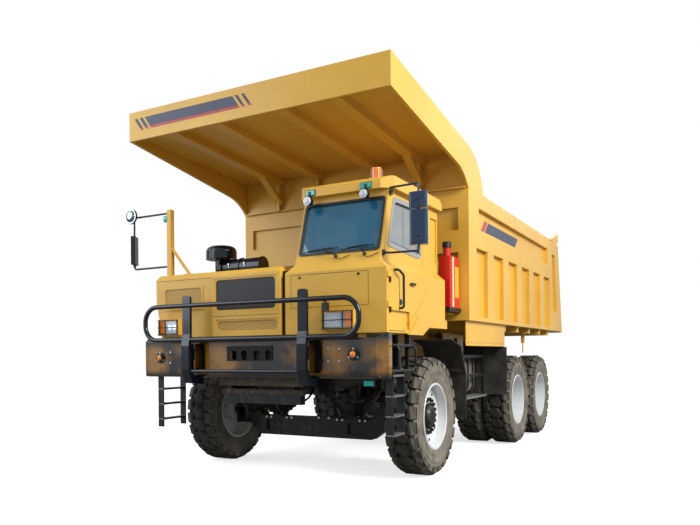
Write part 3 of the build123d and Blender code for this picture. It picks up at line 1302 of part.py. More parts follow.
def make_bumper():
    """The channel-shaped bumper with seats on the frame rails."""
    y0, y1 = BUMPER_FRONT_Y, BUMPER_BACK_Y
    c = BUMPER_CHAMFER
    w = BUMPER_WALL
    shell = prism_x([
        (y0, BUMPER_BOTTOM + c / 2), (y0 + c / 2, BUMPER_BOTTOM), (y1, BUMPER_BOTTOM),
        (y1, BUMPER_BOTTOM + w),
        (y0 + w + 8, BUMPER_BOTTOM + w), (y0 + w, BUMPER_BOTTOM + w + 12), (y0 + w, BUMPER_TOP - c - 8),
        (y0 + c + 8, BUMPER_TOP - w),
        (y1, BUMPER_TOP - w), (y1, BUMPER_TOP), (y0 + c, BUMPER_TOP), (y0, BUMPER_TOP - c),
    ], -BUMPER_HALF_WIDTH, BUMPER_HALF_WIDTH)
    for side in (-1, 1):
        x0, x1 = sorted((side * BUMPER_HALF_WIDTH, side * (BUMPER_HALF_WIDTH - w)))
        shell = shell + box(x0, x1, y0 + c, y1, BUMPER_BOTTOM, BUMPER_TOP)
        x0, x1 = sorted((side * (RAIL_OUTER_X - RAIL_WIDTH), side * RAIL_OUTER_X))
        shell = shell + box(x0, x1, y0 + w, y1, BUMPER_BOTTOM + w, RAIL_TOP)
    corner = prism_z([
        (BUMPER_HALF_WIDTH - 120, y0 - 5), (BUMPER_HALF_WIDTH + 5, y0 - 5),
        (BUMPER_HALF_WIDTH + 5, y0 + 75), (BUMPER_HALF_WIDTH, y0 + 75),
        (BUMPER_HALF_WIDTH - 120, y0),
    ], BUMPER_BOTTOM - 5, BUMPER_TOP + 5)
    gusset = prism_z([
        (BUMPER_HALF_WIDTH - 140, y0 + 5), (BUMPER_HALF_WIDTH, y0 + 75), (BUMPER_HALF_WIDTH, y0 + 110),
        (BUMPER_HALF_WIDTH - 140, y0 + 30),
    ], BUMPER_BOTTOM, BUMPER_TOP - 30)
    shell = shell + gusset - corner
    x0, x1, z0, z1 = TOW_PLATE_FACE
    shell = shell + box(x0, x1, y0 - TOW_PLATE_DEPTH, y0, z0, z1)
    for row in BUMPER_HOLES:
        shell = shell - round_hole(row, BUMPER_HOLE_ROUND, y0 - 5, y0 + w + 5)
    for row in TOW_SLOTS:
        shell = shell - round_hole(row, TOW_SLOT_ROUND, y0 - TOW_PLATE_DEPTH - 5, y0 + w + 5)
    for x in POST_X:
        shell = shell + box(*post_stay_x(x), y0 + w, y1, BUMPER_BOTTOM + w, BUMPER_TOP - w)
    node("bumper", shell)


def post_stay_x(x):
    """The two faces of the plate that ties a post to the bumper."""
    x0 = x - POST_WIDTH / 2 + POST_STAY
    return x0, x0 + POST_STAY


def guard_post(x):
    """One flat post of the guard: straight above, bowed forward over the bumper and hooked below it."""
    post = prism_x([
        (GUARD_Y - 15, POST_TOP), (GUARD_Y + 25, POST_TOP), (GUARD_Y + 25, BUMPER_TOP + 30),
        (GUARD_Y + 5, BUMPER_TOP - 120), (GUARD_Y + 5, BUMPER_BOTTOM + 130),
        (GUARD_Y + 70, BUMPER_BOTTOM + 15),
        (POST_FOOT_Y, BUMPER_BOTTOM - 15), (POST_FOOT_Y, POST_BOTTOM), (GUARD_Y + 30, POST_BOTTOM + 20),
        (GUARD_Y - 45, BUMPER_BOTTOM + 100), (GUARD_Y - 45, BUMPER_TOP - 105),
        (GUARD_Y - 15, BUMPER_TOP + 40),
    ], x - POST_WIDTH / 2, x + POST_WIDTH / 2)
    top = post.edges().filter_by(Axis.Y).group_by(Axis.Z)[-1]
    post = fillet(top, POST_ROUND)
    return post + box(*post_stay_x(x), GUARD_Y - 20, BUMPER_FRONT_Y + BUMPER_WALL, *POST_STAY_Z)


def make_guard():
    """The tube guard before the bumper: a rounded loop and a low bar on two flat posts."""
    corners = [(GUARD_LEFT_X, GUARD_Y, GUARD_TOP_Z), (GUARD_LEFT_X, GUARD_Y, GUARD_LOW_Z),
               (GUARD_RIGHT_X, GUARD_Y, GUARD_LOW_Z), (GUARD_RIGHT_X, GUARD_Y, GUARD_TOP_Z)]
    guard = bent_rod(corners, GUARD_RADIUS, GUARD_BEND, close=True)
    for x in POST_X:
        guard = guard + guard_post(x)
    guard = guard + rod((POST_X[0], GUARD_Y, GUARD_FOOT_Z), (POST_X[1], GUARD_Y, GUARD_FOOT_Z),
                        GUARD_RADIUS - 6)
    node("guard_frame", guard)


HEADLAMPS = ((949, 1352, 1820, 2040), (-1500, -1156, 1805, 2014))
LAMP_GUARD_WIDTH = 18
END_LAMPS = ((1348, 1543), (-1467, 1517))
END_LAMP_RING = 72
END_LAMP_LENS = 50
POST_LAMP_Z = 3400


def make_lamps():
    """Headlamps in their guards, visor lamps and the roof beacon."""
    lamps = []
    for x0, x1, z0, z1 in HEADLAMPS:
        body = box(x0 + 22, x1 - 22, CAB_FRONT_Y - 55, CAB_FRONT_Y, z0 + 22, z1 - 22)
        w = LAMP_GUARD_WIDTH
        opening = box(x0 + w, x1 - w, CAB_FRONT_Y - 80, CAB_FRONT_Y - 50, z0 + w, z1 - w)
        guard = box(x0, x1, CAB_FRONT_Y - 75, CAB_FRONT_Y - 55, z0, z1) - opening
        for start, end in ((x0, x0 + w), (x1 - w, x1)):
            guard = guard + box(start, end, CAB_FRONT_Y - 60, CAB_FRONT_Y, z0, z1)
        lamps.append(body + guard + box(x0 + 10, x1 - 10, CAB_FRONT_Y - 20, CAB_FRONT_Y, z0 + 30, z1 - 30))
    for x in (640, 1375):
        stem = box(x - 12, x + 12, -1300, -1270, CAB_ROOF_UNDER - 20, CAB_ROOF_UNDER + 60)
        lamp = rod((x, -1345, CAB_ROOF_UNDER - 60), (x, -1275, CAB_ROOF_UNDER - 60), 48)
        lamps.append(lamp + stem)
    for x, z in END_LAMPS:
        ring = rod((x, BUMPER_FRONT_Y, z), (x, BUMPER_FRONT_Y - 14, z), END_LAMP_RING)
        lamps.append(ring + rod((x, BUMPER_FRONT_Y, z), (x, BUMPER_FRONT_Y - 40, z), END_LAMP_LENS))
    side_x = MIRROR_POST_X - MIRROR_POST_HALF
    lamps.append(rod((side_x, MIRROR_POST_Y, POST_LAMP_Z), (side_x - 55, MIRROR_POST_Y, POST_LAMP_Z), 45))
    base = rod((1335, -900, CAB_ROOF_TOP), (1335, -900, CAB_ROOF_TOP + 30), 78)
    dome = rod((1335, -900, CAB_ROOF_TOP + 30), (1335, -900, CAB_ROOF_TOP + 190), 62)
    lamps.append(base + dome)
    node("lamps", lamps)


CLEANER_Y = -640
CLEANER_Z = HOOD_TOP + 147
CLEANER_RADIUS = 122
CLEANER_X = (-1085, -455)
CLEANER_RINGS = (
    # right x, left x, radius
    (-1110, -1072, 146),
    (-812, -786, 134),
    (-480, -455, 130),
)
CLEANER_FEET = ((-1000, -930), (-620, -550))
INLET_X = -1165
INLET_RADIUS = 88
SCOOP_RADIUS = 215
SCOOP_Z = (2880, 3065)
SCOOP_ROUND = 85


def make_air_cleaner():
    """The canister on the hood with its bands, its elbow and the domed rain cap."""
    def bar(x0, x1, radius):
        return rod((x0, CLEANER_Y, CLEANER_Z), (x1, CLEANER_Y, CLEANER_Z), radius)
    body = bar(*CLEANER_X, CLEANER_RADIUS) + bar(INLET_X, CLEANER_X[0] + 20, INLET_RADIUS)
    for x0, x1, radius in CLEANER_RINGS:
        body = body + bar(x0, x1, radius)
    for x0, x1 in CLEANER_FEET:
        body = body + box(x0, x1, CLEANER_Y - 80, CLEANER_Y + 80, HOOD_TOP, CLEANER_Z - 60)
    elbow = Pos(INLET_X, CLEANER_Y, CLEANER_Z) * Sphere(INLET_RADIUS)
    neck = rod((INLET_X, CLEANER_Y, CLEANER_Z), (INLET_X, CLEANER_Y, SCOOP_Z[0]), INLET_RADIUS)
    cap = rod((INLET_X, CLEANER_Y, SCOOP_Z[0]), (INLET_X, CLEANER_Y, SCOOP_Z[1]), SCOOP_RADIUS)
    cap = fillet(cap.edges().group_by(Axis.Z)[-1], SCOOP_ROUND)
    node("air_cleaner", fuse_all(body, elbow, neck, cap))


# Mirrors


MIRROR_POST_X = -1560
MIRROR_POST_Y = -1250
MIRROR_POST_HALF = 35
MIRROR_HOUSINGS = ((1935, 2135, 3115, 3295), (1940, 2140, 2720, 3100))
MIRROR_ROUND = 32


def make_mirrors():
    """The right mirror post with two mirrors, and the left pair on bent arms."""
    px, py = MIRROR_POST_X, MIRROR_POST_Y
    post = box(px - MIRROR_POST_HALF, px + MIRROR_POST_HALF, py - MIRROR_POST_HALF, py + MIRROR_POST_HALF,
               HOOD_TOP, 3515)
    brace = rod((px + 20, py, 3000), (px + 330, py, HOOD_TOP + 24), 20)
    foot = box(px + 270, px + 400, py - 50, py + 50, HOOD_TOP, HOOD_TOP + 30)
    arm = bent_rod([
        (px, py - 20, 3470), (px - 640, py - 20, 3470), (px - 640, py - 20, 2750), (px, py - 20, 2750),
    ], 13, 40)
    round_stem = rod((px - 600, py - 30, 3470), (px - 600, py - 90, 3470), 12)
    round_mirror = rod((px - 600, py - 90, 3470), (px - 600, py - 130, 3470), 82)
    plate = Pos(px - 640, py - 20, 3010) * Rot(0, 0, 31) * Box(60, 200, 390)
    right = fuse_all(post, brace, foot, arm, round_stem, round_mirror, plate)
    pillar_x = CAB_LEFT_X - CAB_INSET
    high = bent_rod([
        (pillar_x + 14, -1160, 3392), (pillar_x + 70, -1320, 3392), (2035, -1350, 3392), (2035, -1350, 2660),
        (pillar_x + 90, -1375, 2660), (pillar_x + 14, -1375, 2670),
    ], 12, 25)
    pads = box(pillar_x, pillar_x + 26, -1185, -1135, 3350, 3415) + box(
        pillar_x, pillar_x + 26, -1395, -1352, 2640, 2700)
    housings = []
    for x0, x1, z0, z1 in MIRROR_HOUSINGS:
        housing = box(x0, x1, -1400, -1310, z0, z1)
        housings.append(fillet(housing.edges().filter_by(Axis.Z), MIRROR_ROUND))
    left = fuse_all(high, pads, *housings)
    node("mirrors", right, left)


# Steps, guards and mudguards


LADDER_DEPTH = 95
BELT = 12
TREAD = 24
GRAB_RADIUS = 12
GRAB_BEND = 42
GRAB_LOOPS = (
    # y, right x, left x, lower z, upper z
    (-1372, 1684, 1802, 1385, 1630),
    (-790, 1676, 1770, 1400, 1625),
)


def ladder(x, side, y0, y1, z0, z1, treads):
    """A side ladder: two hanging belts across the truck's length with treads between them."""
    x0, x1 = sorted((x, x - side * LADDER_DEPTH))
    result = box(x0, x1, y0, y0 + BELT, z0, z1) + box(x0, x1, y1 - BELT, y1, z0, z1)
    for z in treads:
        result = result + box(x0, x1, y0 + BELT, y1 - BELT, z - TREAD / 2, z + TREAD / 2)
    return result


def grab_loop(y, x0, x1, z0, z1):
    """A closed round-cornered hand loop that faces the front."""
    return bent_rod([(x0, y, z0), (x1, y, z0), (x1, y, z1), (x0, y, z1)], GRAB_RADIUS, GRAB_BEND, close=True)


GUARD_RAIL_Y = (1210, 2660)
GUARD_POSTS_Y = (1290, 2600)
GUARD_POST = 42


def make_steps():
    """Both access ladders with their upper frames, and the side guards."""
    left = ladder(1745, 1, -1396, -1075, 612, 1350, (640, 850, 1073, 1300))
    for y in (-1392, -1072):
        left = left + box(1640, 1688, y, y + 40, 1300, 1640)
    for y in (-1392, -820):
        left = left + box(1640, 1700, y, y + 40, 1640, CAB_BOTTOM)
    left = left + box(1560, 1740, -1392, -770, 1625, 1650) + box(1600, 1740, -1392, -770, 1340, 1360)
    left = left + box(1640, 1680, -810, -770, 1340, 1640)
    right = ladder(-1672, -1, -1392, -932, 595, 1340, (700, 900, 1100, 1310))
    right = right + box(-1662, -1638, -1392, -1332, 1340, 1640) + box(-1662, -1490, -1392, -1332, 1640, 1665)
    right = right + box(-1520, -1490, -1392, -1332, 1665, CAB_BOTTOM)
    for row in GRAB_LOOPS:
        left = left + grab_loop(*row)
    guards = []
    for side in (-1, 1):
        x0, x1 = sorted((side * 1530, side * 1570))
        rails = box(x0, x1, *GUARD_RAIL_Y, 1475, 1520) + box(x0, x1, *GUARD_RAIL_Y, 1185, 1230)
        for y in GUARD_POSTS_Y:
            rails = rails + box(x0, x1, y, y + GUARD_POST, 895, 1765)
        step_x0, step_x1 = sorted((side * 1400, side * 1600))
        rails = rails + box(step_x0, step_x1, 1240, 2700, 860, 895)
        guards.append(rails)
    node("steps_and_guards", left, right, guards)


MUDGUARD_X = (1250, 1800)
MUDGUARD_WALL = 14


def make_mudguards():
    """The bent black mudguards behind the front wheels, with their stays."""
    w = MUDGUARD_WALL
    blade = prism_x([
        (1000, 650), (1000 + w, 650), (1000 + w, 1255), (785 + w, 1650), (420, 1734), (420, 1734 - w),
        (780, 1640), (1000, 1250),
    ], *MUDGUARD_X)
    stay = box(RAIL_OUTER_X, MUDGUARD_X[1] - 60, 950, 1010, 1290, 1350)
    node("front_mudguards", both_sides(blade + stay))


RED_TANK = (BED_HALF_WIDTH - 300, BED_HALF_WIDTH - 120, 550, 920, 2160, 2850)
RED_TANK_ROUND = 30
PLATFORM_LIP = 10
FUEL_TANK = (780, 1400, 1900, 2680, 910, 1535)
FUEL_TANK_ROUND = 150
FUEL_STRAPS_Y = (2300, 2540)
FUEL_BRACKETS_Y = (2000, 2440)
STRAP = 8
STRAP_WIDTH = 65


def make_tanks():
    """Fuel tank with straps, battery box and air tanks beside the rails; the red tank on its platform."""
    x0, x1, y0, y1, z0, z1 = FUEL_TANK
    tank = fillet(box(*FUEL_TANK).edges().filter_by(Axis.Y), FUEL_TANK_ROUND)
    for y in FUEL_STRAPS_Y:
        band = box(x0 - STRAP, x1 + STRAP, y, y + STRAP_WIDTH, z0 - STRAP, z1 + STRAP)
        tank = tank + fillet(band.edges().filter_by(Axis.Y), FUEL_TANK_ROUND + STRAP)
    for y in FUEL_BRACKETS_Y:
        tank = tank + box(RAIL_OUTER_X, x0 + 10, y, y + STRAP_WIDTH, 1150, 1300)
        tank = tank + box(x1 - 10, 1530, y, y + STRAP_WIDTH, 1195, 1230)
    battery = box(-1380, -860, 1300, 1900, 900, 1420) + box(-860, -RAIL_OUTER_X, 1400, 1480, 1150, 1300)
    battery = battery + box(-1530, -1380, 1640, 1700, 1195, 1230)
    air = rod((-1150, 2050, 1150), (-1150, 2560, 1150), 150)
    air = air + box(-1150, -RAIL_OUTER_X, 2200, 2260, 1130, 1230) + box(-1530, -1150, 2330, 2360, 1195, 1225)
    node("side_equipment", tank, battery, air)
    x0, x1, y0, y1, z0, z1 = RED_TANK
    platform = box(860, x1 + PLATFORM_LIP, 450, y1 + PLATFORM_LIP, z0 - 55, z0)
    post = box(880, 960, 520, 600, 1420, 2105) + box(RAIL_OUTER_X, 960, 520, 600, 1340, 1420)
    node("tank_platform", platform + post)
    red = fillet(box(*RED_TANK).edges().filter_by(Axis.Z), RED_TANK_ROUND)
    at = ((x0 + x1) / 2, y0 + 90)
    neck = rod((*at, z1), (*at, z1 + 120), 50)
    cap = rod((*at, z1 + 120), (*at, z1 + 200), 60)
    node("red_tank", red + neck + cap)


def main():
    os.makedirs("parts", exist_ok=True)
    make_wheels()
    make_front_axle()
    node("drive_axles", drive_axle(MIDDLE_AXLE_Y), drive_axle(REAR_AXLE_Y))
    make_springs()
    make_power_train()
    make_chassis()
    make_hoists()
    make_bed_tub()
    make_underframe()
    make_canopy()
    make_tailgate()
    make_cab()
    make_cab_interior()
    make_hood()
    make_grilles()
    make_bumper()
    make_guard()
    make_lamps()
    make_air_cleaner()
    make_mirrors()
    make_steps()
    make_mudguards()
    make_tanks()


main()
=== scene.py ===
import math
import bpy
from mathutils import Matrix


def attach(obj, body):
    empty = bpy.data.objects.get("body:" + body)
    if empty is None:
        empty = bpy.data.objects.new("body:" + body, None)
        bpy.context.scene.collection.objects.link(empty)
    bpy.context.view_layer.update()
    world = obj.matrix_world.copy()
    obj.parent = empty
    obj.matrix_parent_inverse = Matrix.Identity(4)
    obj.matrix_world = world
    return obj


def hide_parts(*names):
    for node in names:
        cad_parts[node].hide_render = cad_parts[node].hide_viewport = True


bl_info = {
    "name": "Mining Dump Truck Finish",
    "version": (1, 0, 0),
    "blender": (4, 5, 0),
    "location": "View3D > Sidebar > Truck",
    "description": "Finishes, tread, trim and lamps for a packed mining dump truck",
    "category": "Object",
}

import bmesh
import bpy
from mathutils import Matrix, Vector

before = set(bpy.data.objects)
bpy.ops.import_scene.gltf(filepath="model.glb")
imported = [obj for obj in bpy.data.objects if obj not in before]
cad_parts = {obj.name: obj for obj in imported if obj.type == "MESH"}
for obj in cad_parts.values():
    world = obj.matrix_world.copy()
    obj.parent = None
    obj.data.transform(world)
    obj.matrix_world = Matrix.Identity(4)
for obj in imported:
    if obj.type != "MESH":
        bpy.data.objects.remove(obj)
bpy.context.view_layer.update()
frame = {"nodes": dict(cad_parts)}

# Pieces are measured, as the truck's own drawing is, from the ground below the front axle's middle.
# +X is the cab's side, the truck faces -Y.
TO_FRAME = Vector((0.0686, -2.856, 0.0))
WHEELS = (
    # body, tyre centres across, axle y, tyres' node
    ("front_wheel_left", (1.53,), 0.0, "front_tyre_left"),
    ("front_wheel_right", (-1.53,), 0.0, "front_tyre_right"),
    ("middle_wheels_left", (1.63, 1.15), 3.8, "middle_tyres_left"),
    ("middle_wheels_right", (-1.63, -1.15), 3.8, "middle_tyres_right"),
    ("rear_wheels_left", (1.63, 1.15), 5.51, "rear_tyres_left"),
    ("rear_wheels_right", (-1.63, -1.15), 5.51, "rear_tyres_right"),
)
AXLE_Z = 0.75
FORWARDS = (0, -1, 0)


def linear(code):
    """A hex sRGB colour as linear RGBA."""
    values = [int(code[k:k + 2], 16) / 255 for k in (1, 3, 5)]
    return tuple(v / 12.92 if v <= 0.04045 else ((v + 0.055) / 1.055) ** 2.4 for v in values) + (1.0,)


def colour_prop(name, code, about):
    return bpy.props.FloatVectorProperty(name=name, description=about, subtype="COLOR", size=4, min=0, max=1,
                                         default=linear(code))


def length_prop(name, metres, about):
    return bpy.props.FloatProperty(name=name, description=about, default=metres, unit="LENGTH", min=0)


class TruckPaintColours(bpy.types.PropertyGroup):
    """Colours of the truck's finishes."""
    body: colour_prop("Body", "#d9a93e", "Colour of the body's enamel")
    dust: colour_prop("Dust", "#8f897c", "Colour of the dust that lies on the tyres")
    frame: colour_prop("Frame", "#0d0e10", "Colour of the chassis paint")
    bumper: colour_prop("Bumper", "#0c0b0a", "Colour of the bumper's enamel")
    # The bumper's golden clouds are partly grime and partly a painted reflection on its black gloss.
    bumper_grime_and_sheen: colour_prop("Bumper grime and sheen", "#93640f", "Colour of the grime and painted reflection on the bumper")
    rim: colour_prop("Rim", "#d3d7da", "Colour of the rims' enamel")
    rubber: colour_prop("Rubber", "#1b1c1d", "Colour of the tyres' rubber")
    stripe_dark: colour_prop("Dark stripe", "#101c3e", "Colour of the decal bands")
    stripe_red: colour_prop("Red stripe", "#a8141f", "Colour of the decals' thin line")


class TruckTreadSizes(bpy.types.PropertyGroup):
    """Sizes of the rock tread and of the tyre's side."""
    carcass: length_prop("Carcass radius", 0.718, "Radius of the tyre at the bottom of its grooves")
    tip: length_prop("Lug radius", 0.749, "Radius of the tyre at the lugs' tips")
    half_width: length_prop("Half width", 0.214, "Half of the tyre's width")
    count: bpy.props.IntProperty(name="Lugs around", description="Lugs in each row", default=24, min=8,
                                 max=60)


class TruckTrimSizes(bpy.types.PropertyGroup):
    """Sizes of the small fittings."""
    nut: length_prop("Wheel nut", 0.021, "Radius of a wheel nut across its corners")
    bolt: length_prop("Bolt head", 0.017, "Radius of an axle bolt's head across its corners")
    screw: length_prop("Guard screw", 0.008, "Radius of a lamp guard's screw head")
    rivet: length_prop("Rivet", 0.0075, "Radius of a ladder's rivet head")
    skirt_bolt: length_prop("Skirt bolt", 0.012, "Radius of a skirt bolt's head across its corners")


class TruckStageSizes(bpy.types.PropertyGroup):
    """The camera and the lamps around the truck."""
    lens: bpy.props.FloatProperty(name="Lens", description="Focal length", default=36.328,
                                  subtype="DISTANCE_CAMERA")
    azimuth: bpy.props.FloatProperty(name="Azimuth", description="Turn of the view from straight ahead",
                                     default=math.radians(30.7615), subtype="ANGLE")
    roll: bpy.props.FloatProperty(name="Roll", description="Roll of the camera",
                                  default=math.radians(-0.4576), subtype="ANGLE")
    key: bpy.props.FloatProperty(name="Key lamp", description="Power of the main soft lamp", default=2750,
                                 unit="POWER")
    fill: bpy.props.FloatProperty(name="Fill lamp", description="Power of the second soft lamp", default=560,
                                  unit="POWER")


# Materials

# Sizes of the finishes' patterns in millimetres. Orange peel, the rubber's grit and the plastic's grain are
# finer on a real truck, and are drawn as coarse as they need to be to show.
COAT_FADING = 1111.111
DUST_PATCH = 71.42857
ORANGE_PEEL = 16.66667
DRIED_DUST = 166.6667
RUBBER_TONE = 25
RUBBER_GRIT = 4.545455
STEEL_STAIN = 33.33333
PLASTIC_TONE = 200
PLASTIC_GRAIN = 11.11111
SEAT_WEAVE = 2.5
GLASS_TONE = 333.3333
LENS_FLUTE = 12.08305
BUMPER_CLOUD = 526.3158
MESH_PITCH = 42
# Blender's wave texture has 20 radians of its sine to each unit of place times scale.
WAVE_RADIANS = 20


def give(tree, node, inputs):
    """Fills a node's inputs with values or links."""
    for key, value in inputs.items():
        if isinstance(value, bpy.types.NodeSocket):
            tree.links.new(value, node.inputs[key])
        else:
            node.inputs[key].default_value = value
    return node


def add(tree, kind, inputs=None, **settings):
    """Adds a node, gives it its settings, and fills its inputs with values or links."""
    node = tree.nodes.new(kind)
    for name, value in settings.items():
        setattr(node, name, value)
    return give(tree, node, inputs or {})


def maths(tree, operation, first, second=0.0):
    """The result of one arithmetic step on values or links."""
    return add(tree, "ShaderNodeMath", {0: first, 1: second}, operation=operation).outputs[0]


def bare_tree(owner):
    """The emptied node tree of a material or a world."""
    owner.use_nodes = True
    owner.node_tree.nodes.clear()
    return owner.node_tree


def start_material(name):
    """A new material with its output, shader and object coordinates."""
    made = bpy.data.materials.new(name)
    tree = bare_tree(made)
    shader = add(tree, "ShaderNodeBsdfPrincipled")
    add(tree, "ShaderNodeOutputMaterial", {"Surface": shader.outputs[0]})
    place = add(tree, "ShaderNodeTexCoord").outputs["Object"]
    return made, tree, shader, place


def ramp(tree, value, low, high):
    """A value stretched so that low gives 0 and high gives 1."""
    return add(tree, "ShaderNodeMapRange", {"Value": value, "From Min": low, "From Max": high}).outputs[0]


def spread(tree, value, low, high):
    """A value between 0 and 1 stretched so that 0 gives low and 1 gives high."""
    return add(tree, "ShaderNodeMapRange", {"Value": value, "To Min": low, "To Max": high}).outputs[0]


def blend_colour(tree, amount, first, second):
    """One colour laid over another by an amount."""
    return add(tree, "ShaderNodeMix", {0: amount, 6: first, 7: second}, data_type="RGBA").outputs[2]


def shade(colour, amount):
    """The colour made darker or lighter by a factor."""
    return tuple(min(1, c * amount) for c in colour[:3]) + (1.0,)


def mottled(tree, amount, colour, darker, lighter):
    """A colour that runs from a darker to a lighter shade of itself by an amount."""
    return blend_colour(tree, amount, shade(colour, darker), shade(colour, lighter))


def speckle(tree, place, cell, detail=4.0, rough=0.55):
    """Fractal noise whose broadest cells have a size in millimetres."""
    inputs = {"Vector": place, "Scale": 1000 / cell, "Detail": detail, "Roughness": rough}
    return add(tree, "ShaderNodeTexNoise", inputs).outputs[0]


def facing_along(tree, axis):
    """How far the surface faces along an axis: 0 is X, 1 is Y and 2 is Z."""
    normal = add(tree, "ShaderNodeNewGeometry").outputs["Normal"]
    return add(tree, "ShaderNodeSeparateXYZ", {0: normal}).outputs[axis]


def ruffled(tree, height, strength, distance, under=None):
    """The surface's facing ruffled by a height, and laid over another facing where one is given."""
    inputs = {"Height": height, "Strength": strength, "Distance": distance}
    if under is not None:
        inputs["Normal"] = under
    return add(tree, "ShaderNodeBump", inputs).outputs[0]


def eased_edges(tree, radius):
    """The surface's facing with its sharp edges eased to a radius."""
    return add(tree, "ShaderNodeBevel", {"Radius": radius}, samples=4).outputs[0]


def enamel(name, colour, rough=0.36, dust=None, dust_share=0.25, coat=0.35, wear=0.12):
    """Enamel sprayed on steel: even colour, faint orange peel, dust in patches and a thin gloss coat."""
    made, tree, shader, place = start_material(name)
    broad = speckle(tree, place, COAT_FADING)
    fine = speckle(tree, place, DUST_PATCH)
    tone = mottled(tree, ramp(tree, broad, 0.3, 0.7), colour, 1 - wear, 1 + wear * 0.35)
    if dust:
        patches = ramp(tree, fine, 0.5, 0.78)
        lying = maths(tree, "MULTIPLY", ramp(tree, facing_along(tree, 2), 0.2, 1.0), 0.55)
        cover = maths(tree, "MULTIPLY", maths(tree, "ADD", patches, lying), dust_share)
        tone = blend_colour(tree, cover, tone, dust)
    peel = speckle(tree, place, ORANGE_PEEL)
    give(tree, shader, {
        "Base Color": tone,
        "Roughness": spread(tree, fine, rough - 0.05, rough + 0.14),
        "Specular IOR Level": 0.36,
        "Coat Weight": coat,
        "Coat Roughness": 0.12,
        "Normal": ruffled(tree, peel, strength=0.05, distance=0.002, under=eased_edges(tree, radius=0.006)),
    })
    return made


def dusty_rubber(name, colour, dust, low, high, crown=1.0):
    """Moulded tyre rubber: dull, with dust that has dried on its sides and by a share on its crown."""
    made, tree, shader, place = start_material(name)
    cover = spread(tree, ramp(tree, speckle(tree, place, DRIED_DUST), 0.25, 0.75), low, high)
    sideways = maths(tree, "ABSOLUTE", facing_along(tree, 0))
    sided = maths(tree, "MULTIPLY", cover, spread(tree, ramp(tree, sideways, 0.2, 0.85), crown, 1.0))
    rubber = mottled(tree, speckle(tree, place, RUBBER_TONE), colour, darker=0.75, lighter=1.2)
    grit = speckle(tree, place, RUBBER_GRIT)
    give(tree, shader, {
        "Base Color": blend_colour(tree, sided, rubber, dust),
        "Roughness": 0.82,
        "Specular IOR Level": 0.3,
        "Normal": ruffled(tree, grit, strength=0.25, distance=0.002),
    })
    return made


def plain_steel(name, colour, rough, metallic, stains=0.25):
    """Bare, plated or blackened steel with slight stains that vary its gloss."""
    made, tree, shader, place = start_material(name)
    stain = speckle(tree, place, STEEL_STAIN)
    give(tree, shader, {
        "Base Color": mottled(tree, stain, colour, 1 - stains, 1 + stains),
        "Roughness": spread(tree, stain, max(0.04, rough - 0.1), rough + 0.12),
        "Metallic": metallic,
    })
    return made


def moulded_plastic(name, colour, rough, grain=PLASTIC_GRAIN):
    """Injection-moulded plastic with a fine grain."""
    made, tree, shader, place = start_material(name)
    give(tree, shader, {
        "Base Color": mottled(tree, speckle(tree, place, PLASTIC_TONE), colour, darker=0.85, lighter=1.12),
        "Roughness": rough,
        "Normal": ruffled(tree, speckle(tree, place, grain), strength=0.08, distance=0.001),
    })
    return made


def window_glass(name, colour, alpha):
    """Tinted safety glass: mostly its gloss shows, with the cab dim behind it."""
    made, tree, shader, place = start_material(name)
    give(tree, shader, {
        "Base Color": mottled(tree, speckle(tree, place, GLASS_TONE), colour, darker=0.9, lighter=1.1),
        "Roughness": 0.03,
        "Alpha": alpha,
        "Coat Weight": 1.0,
        "Coat Roughness": 0.02,
    })
    return made


def lens_plastic(name, colour, glow=0.0):
    """Moulded lens of a lamp, with the fine flutes that scatter light."""
    made, tree, shader, place = start_material(name)
    scale = math.tau * 1000 / LENS_FLUTE / WAVE_RADIANS
    flutes = add(tree, "ShaderNodeTexWave", {"Vector": place, "Scale": scale, "Distortion": 0.4}).outputs[1]
    give(tree, shader, {
        "Base Color": mottled(tree, flutes, colour, darker=0.75, lighter=1.15),
        "Roughness": 0.12,
        "Coat Weight": 0.8,
    })
    if glow:
        give(tree, shader, {"Emission Color": colour, "Emission Strength": glow})
    return made


# Heights on the bumper: first where its edge is clean black, then where the golden clouds, partly grime and
# partly a painted reflection, are full.
BUMPER_TOP_BAND = (1.73, 1.62)
BUMPER_FOOT_BAND = (1.29, 1.36)


def grimy_sheened_bumper(name, colour, grime_and_sheen):
    """Black gloss enamel with golden brown clouds, partly grime and partly a painted golden reflection,
    clean along its upper and lower edges.
    """
    made, tree, shader, place = start_material(name)
    cloud = speckle(tree, place, BUMPER_CLOUD, detail=6.0, rough=0.6)
    height = add(tree, "ShaderNodeSeparateXYZ", {0: place}).outputs[2]
    below_top, above_foot = (ramp(tree, height, *edge) for edge in (BUMPER_TOP_BAND, BUMPER_FOOT_BAND))
    band = maths(tree, "MULTIPLY", below_top, above_foot)
    share = maths(tree, "MULTIPLY", ramp(tree, cloud, 0.38, 0.6), band)
    give(tree, shader, {
        # The golden clouds are partly grime and partly a painted reflection on the black gloss.
        "Base Color": blend_colour(tree, share, colour, grime_and_sheen),
        "Roughness": spread(tree, share, 0.12, 0.3),
        "Coat Weight": 0.9,
        "Coat Roughness": 0.05,
        "Normal": eased_edges(tree, radius=0.008),
    })
    return made


def perforated(name, colour, hole):
    """Sheet or wire mesh with small openings in a diagonal grid, painted dark as the shade seen through
    them.
    """
    made, tree, shader, place = start_material(name)
    parts = add(tree, "ShaderNodeSeparateXYZ", {0: place}).outputs
    turns_a_metre = math.tau * 1000 / MESH_PITCH
    waves = [maths(tree, "SINE", maths(tree, "MULTIPLY", parts[axis], turns_a_metre)) for axis in (0, 2)]
    grid = maths(tree, "MULTIPLY", *waves)
    give(tree, shader, {
        # The openings are not cut: their dark colour is painted shade.
        "Base Color": blend_colour(tree, ramp(tree, grid, 0.12, 0.3), colour, hole),
        "Roughness": 0.5,
    })
    return made


FINISH = {}


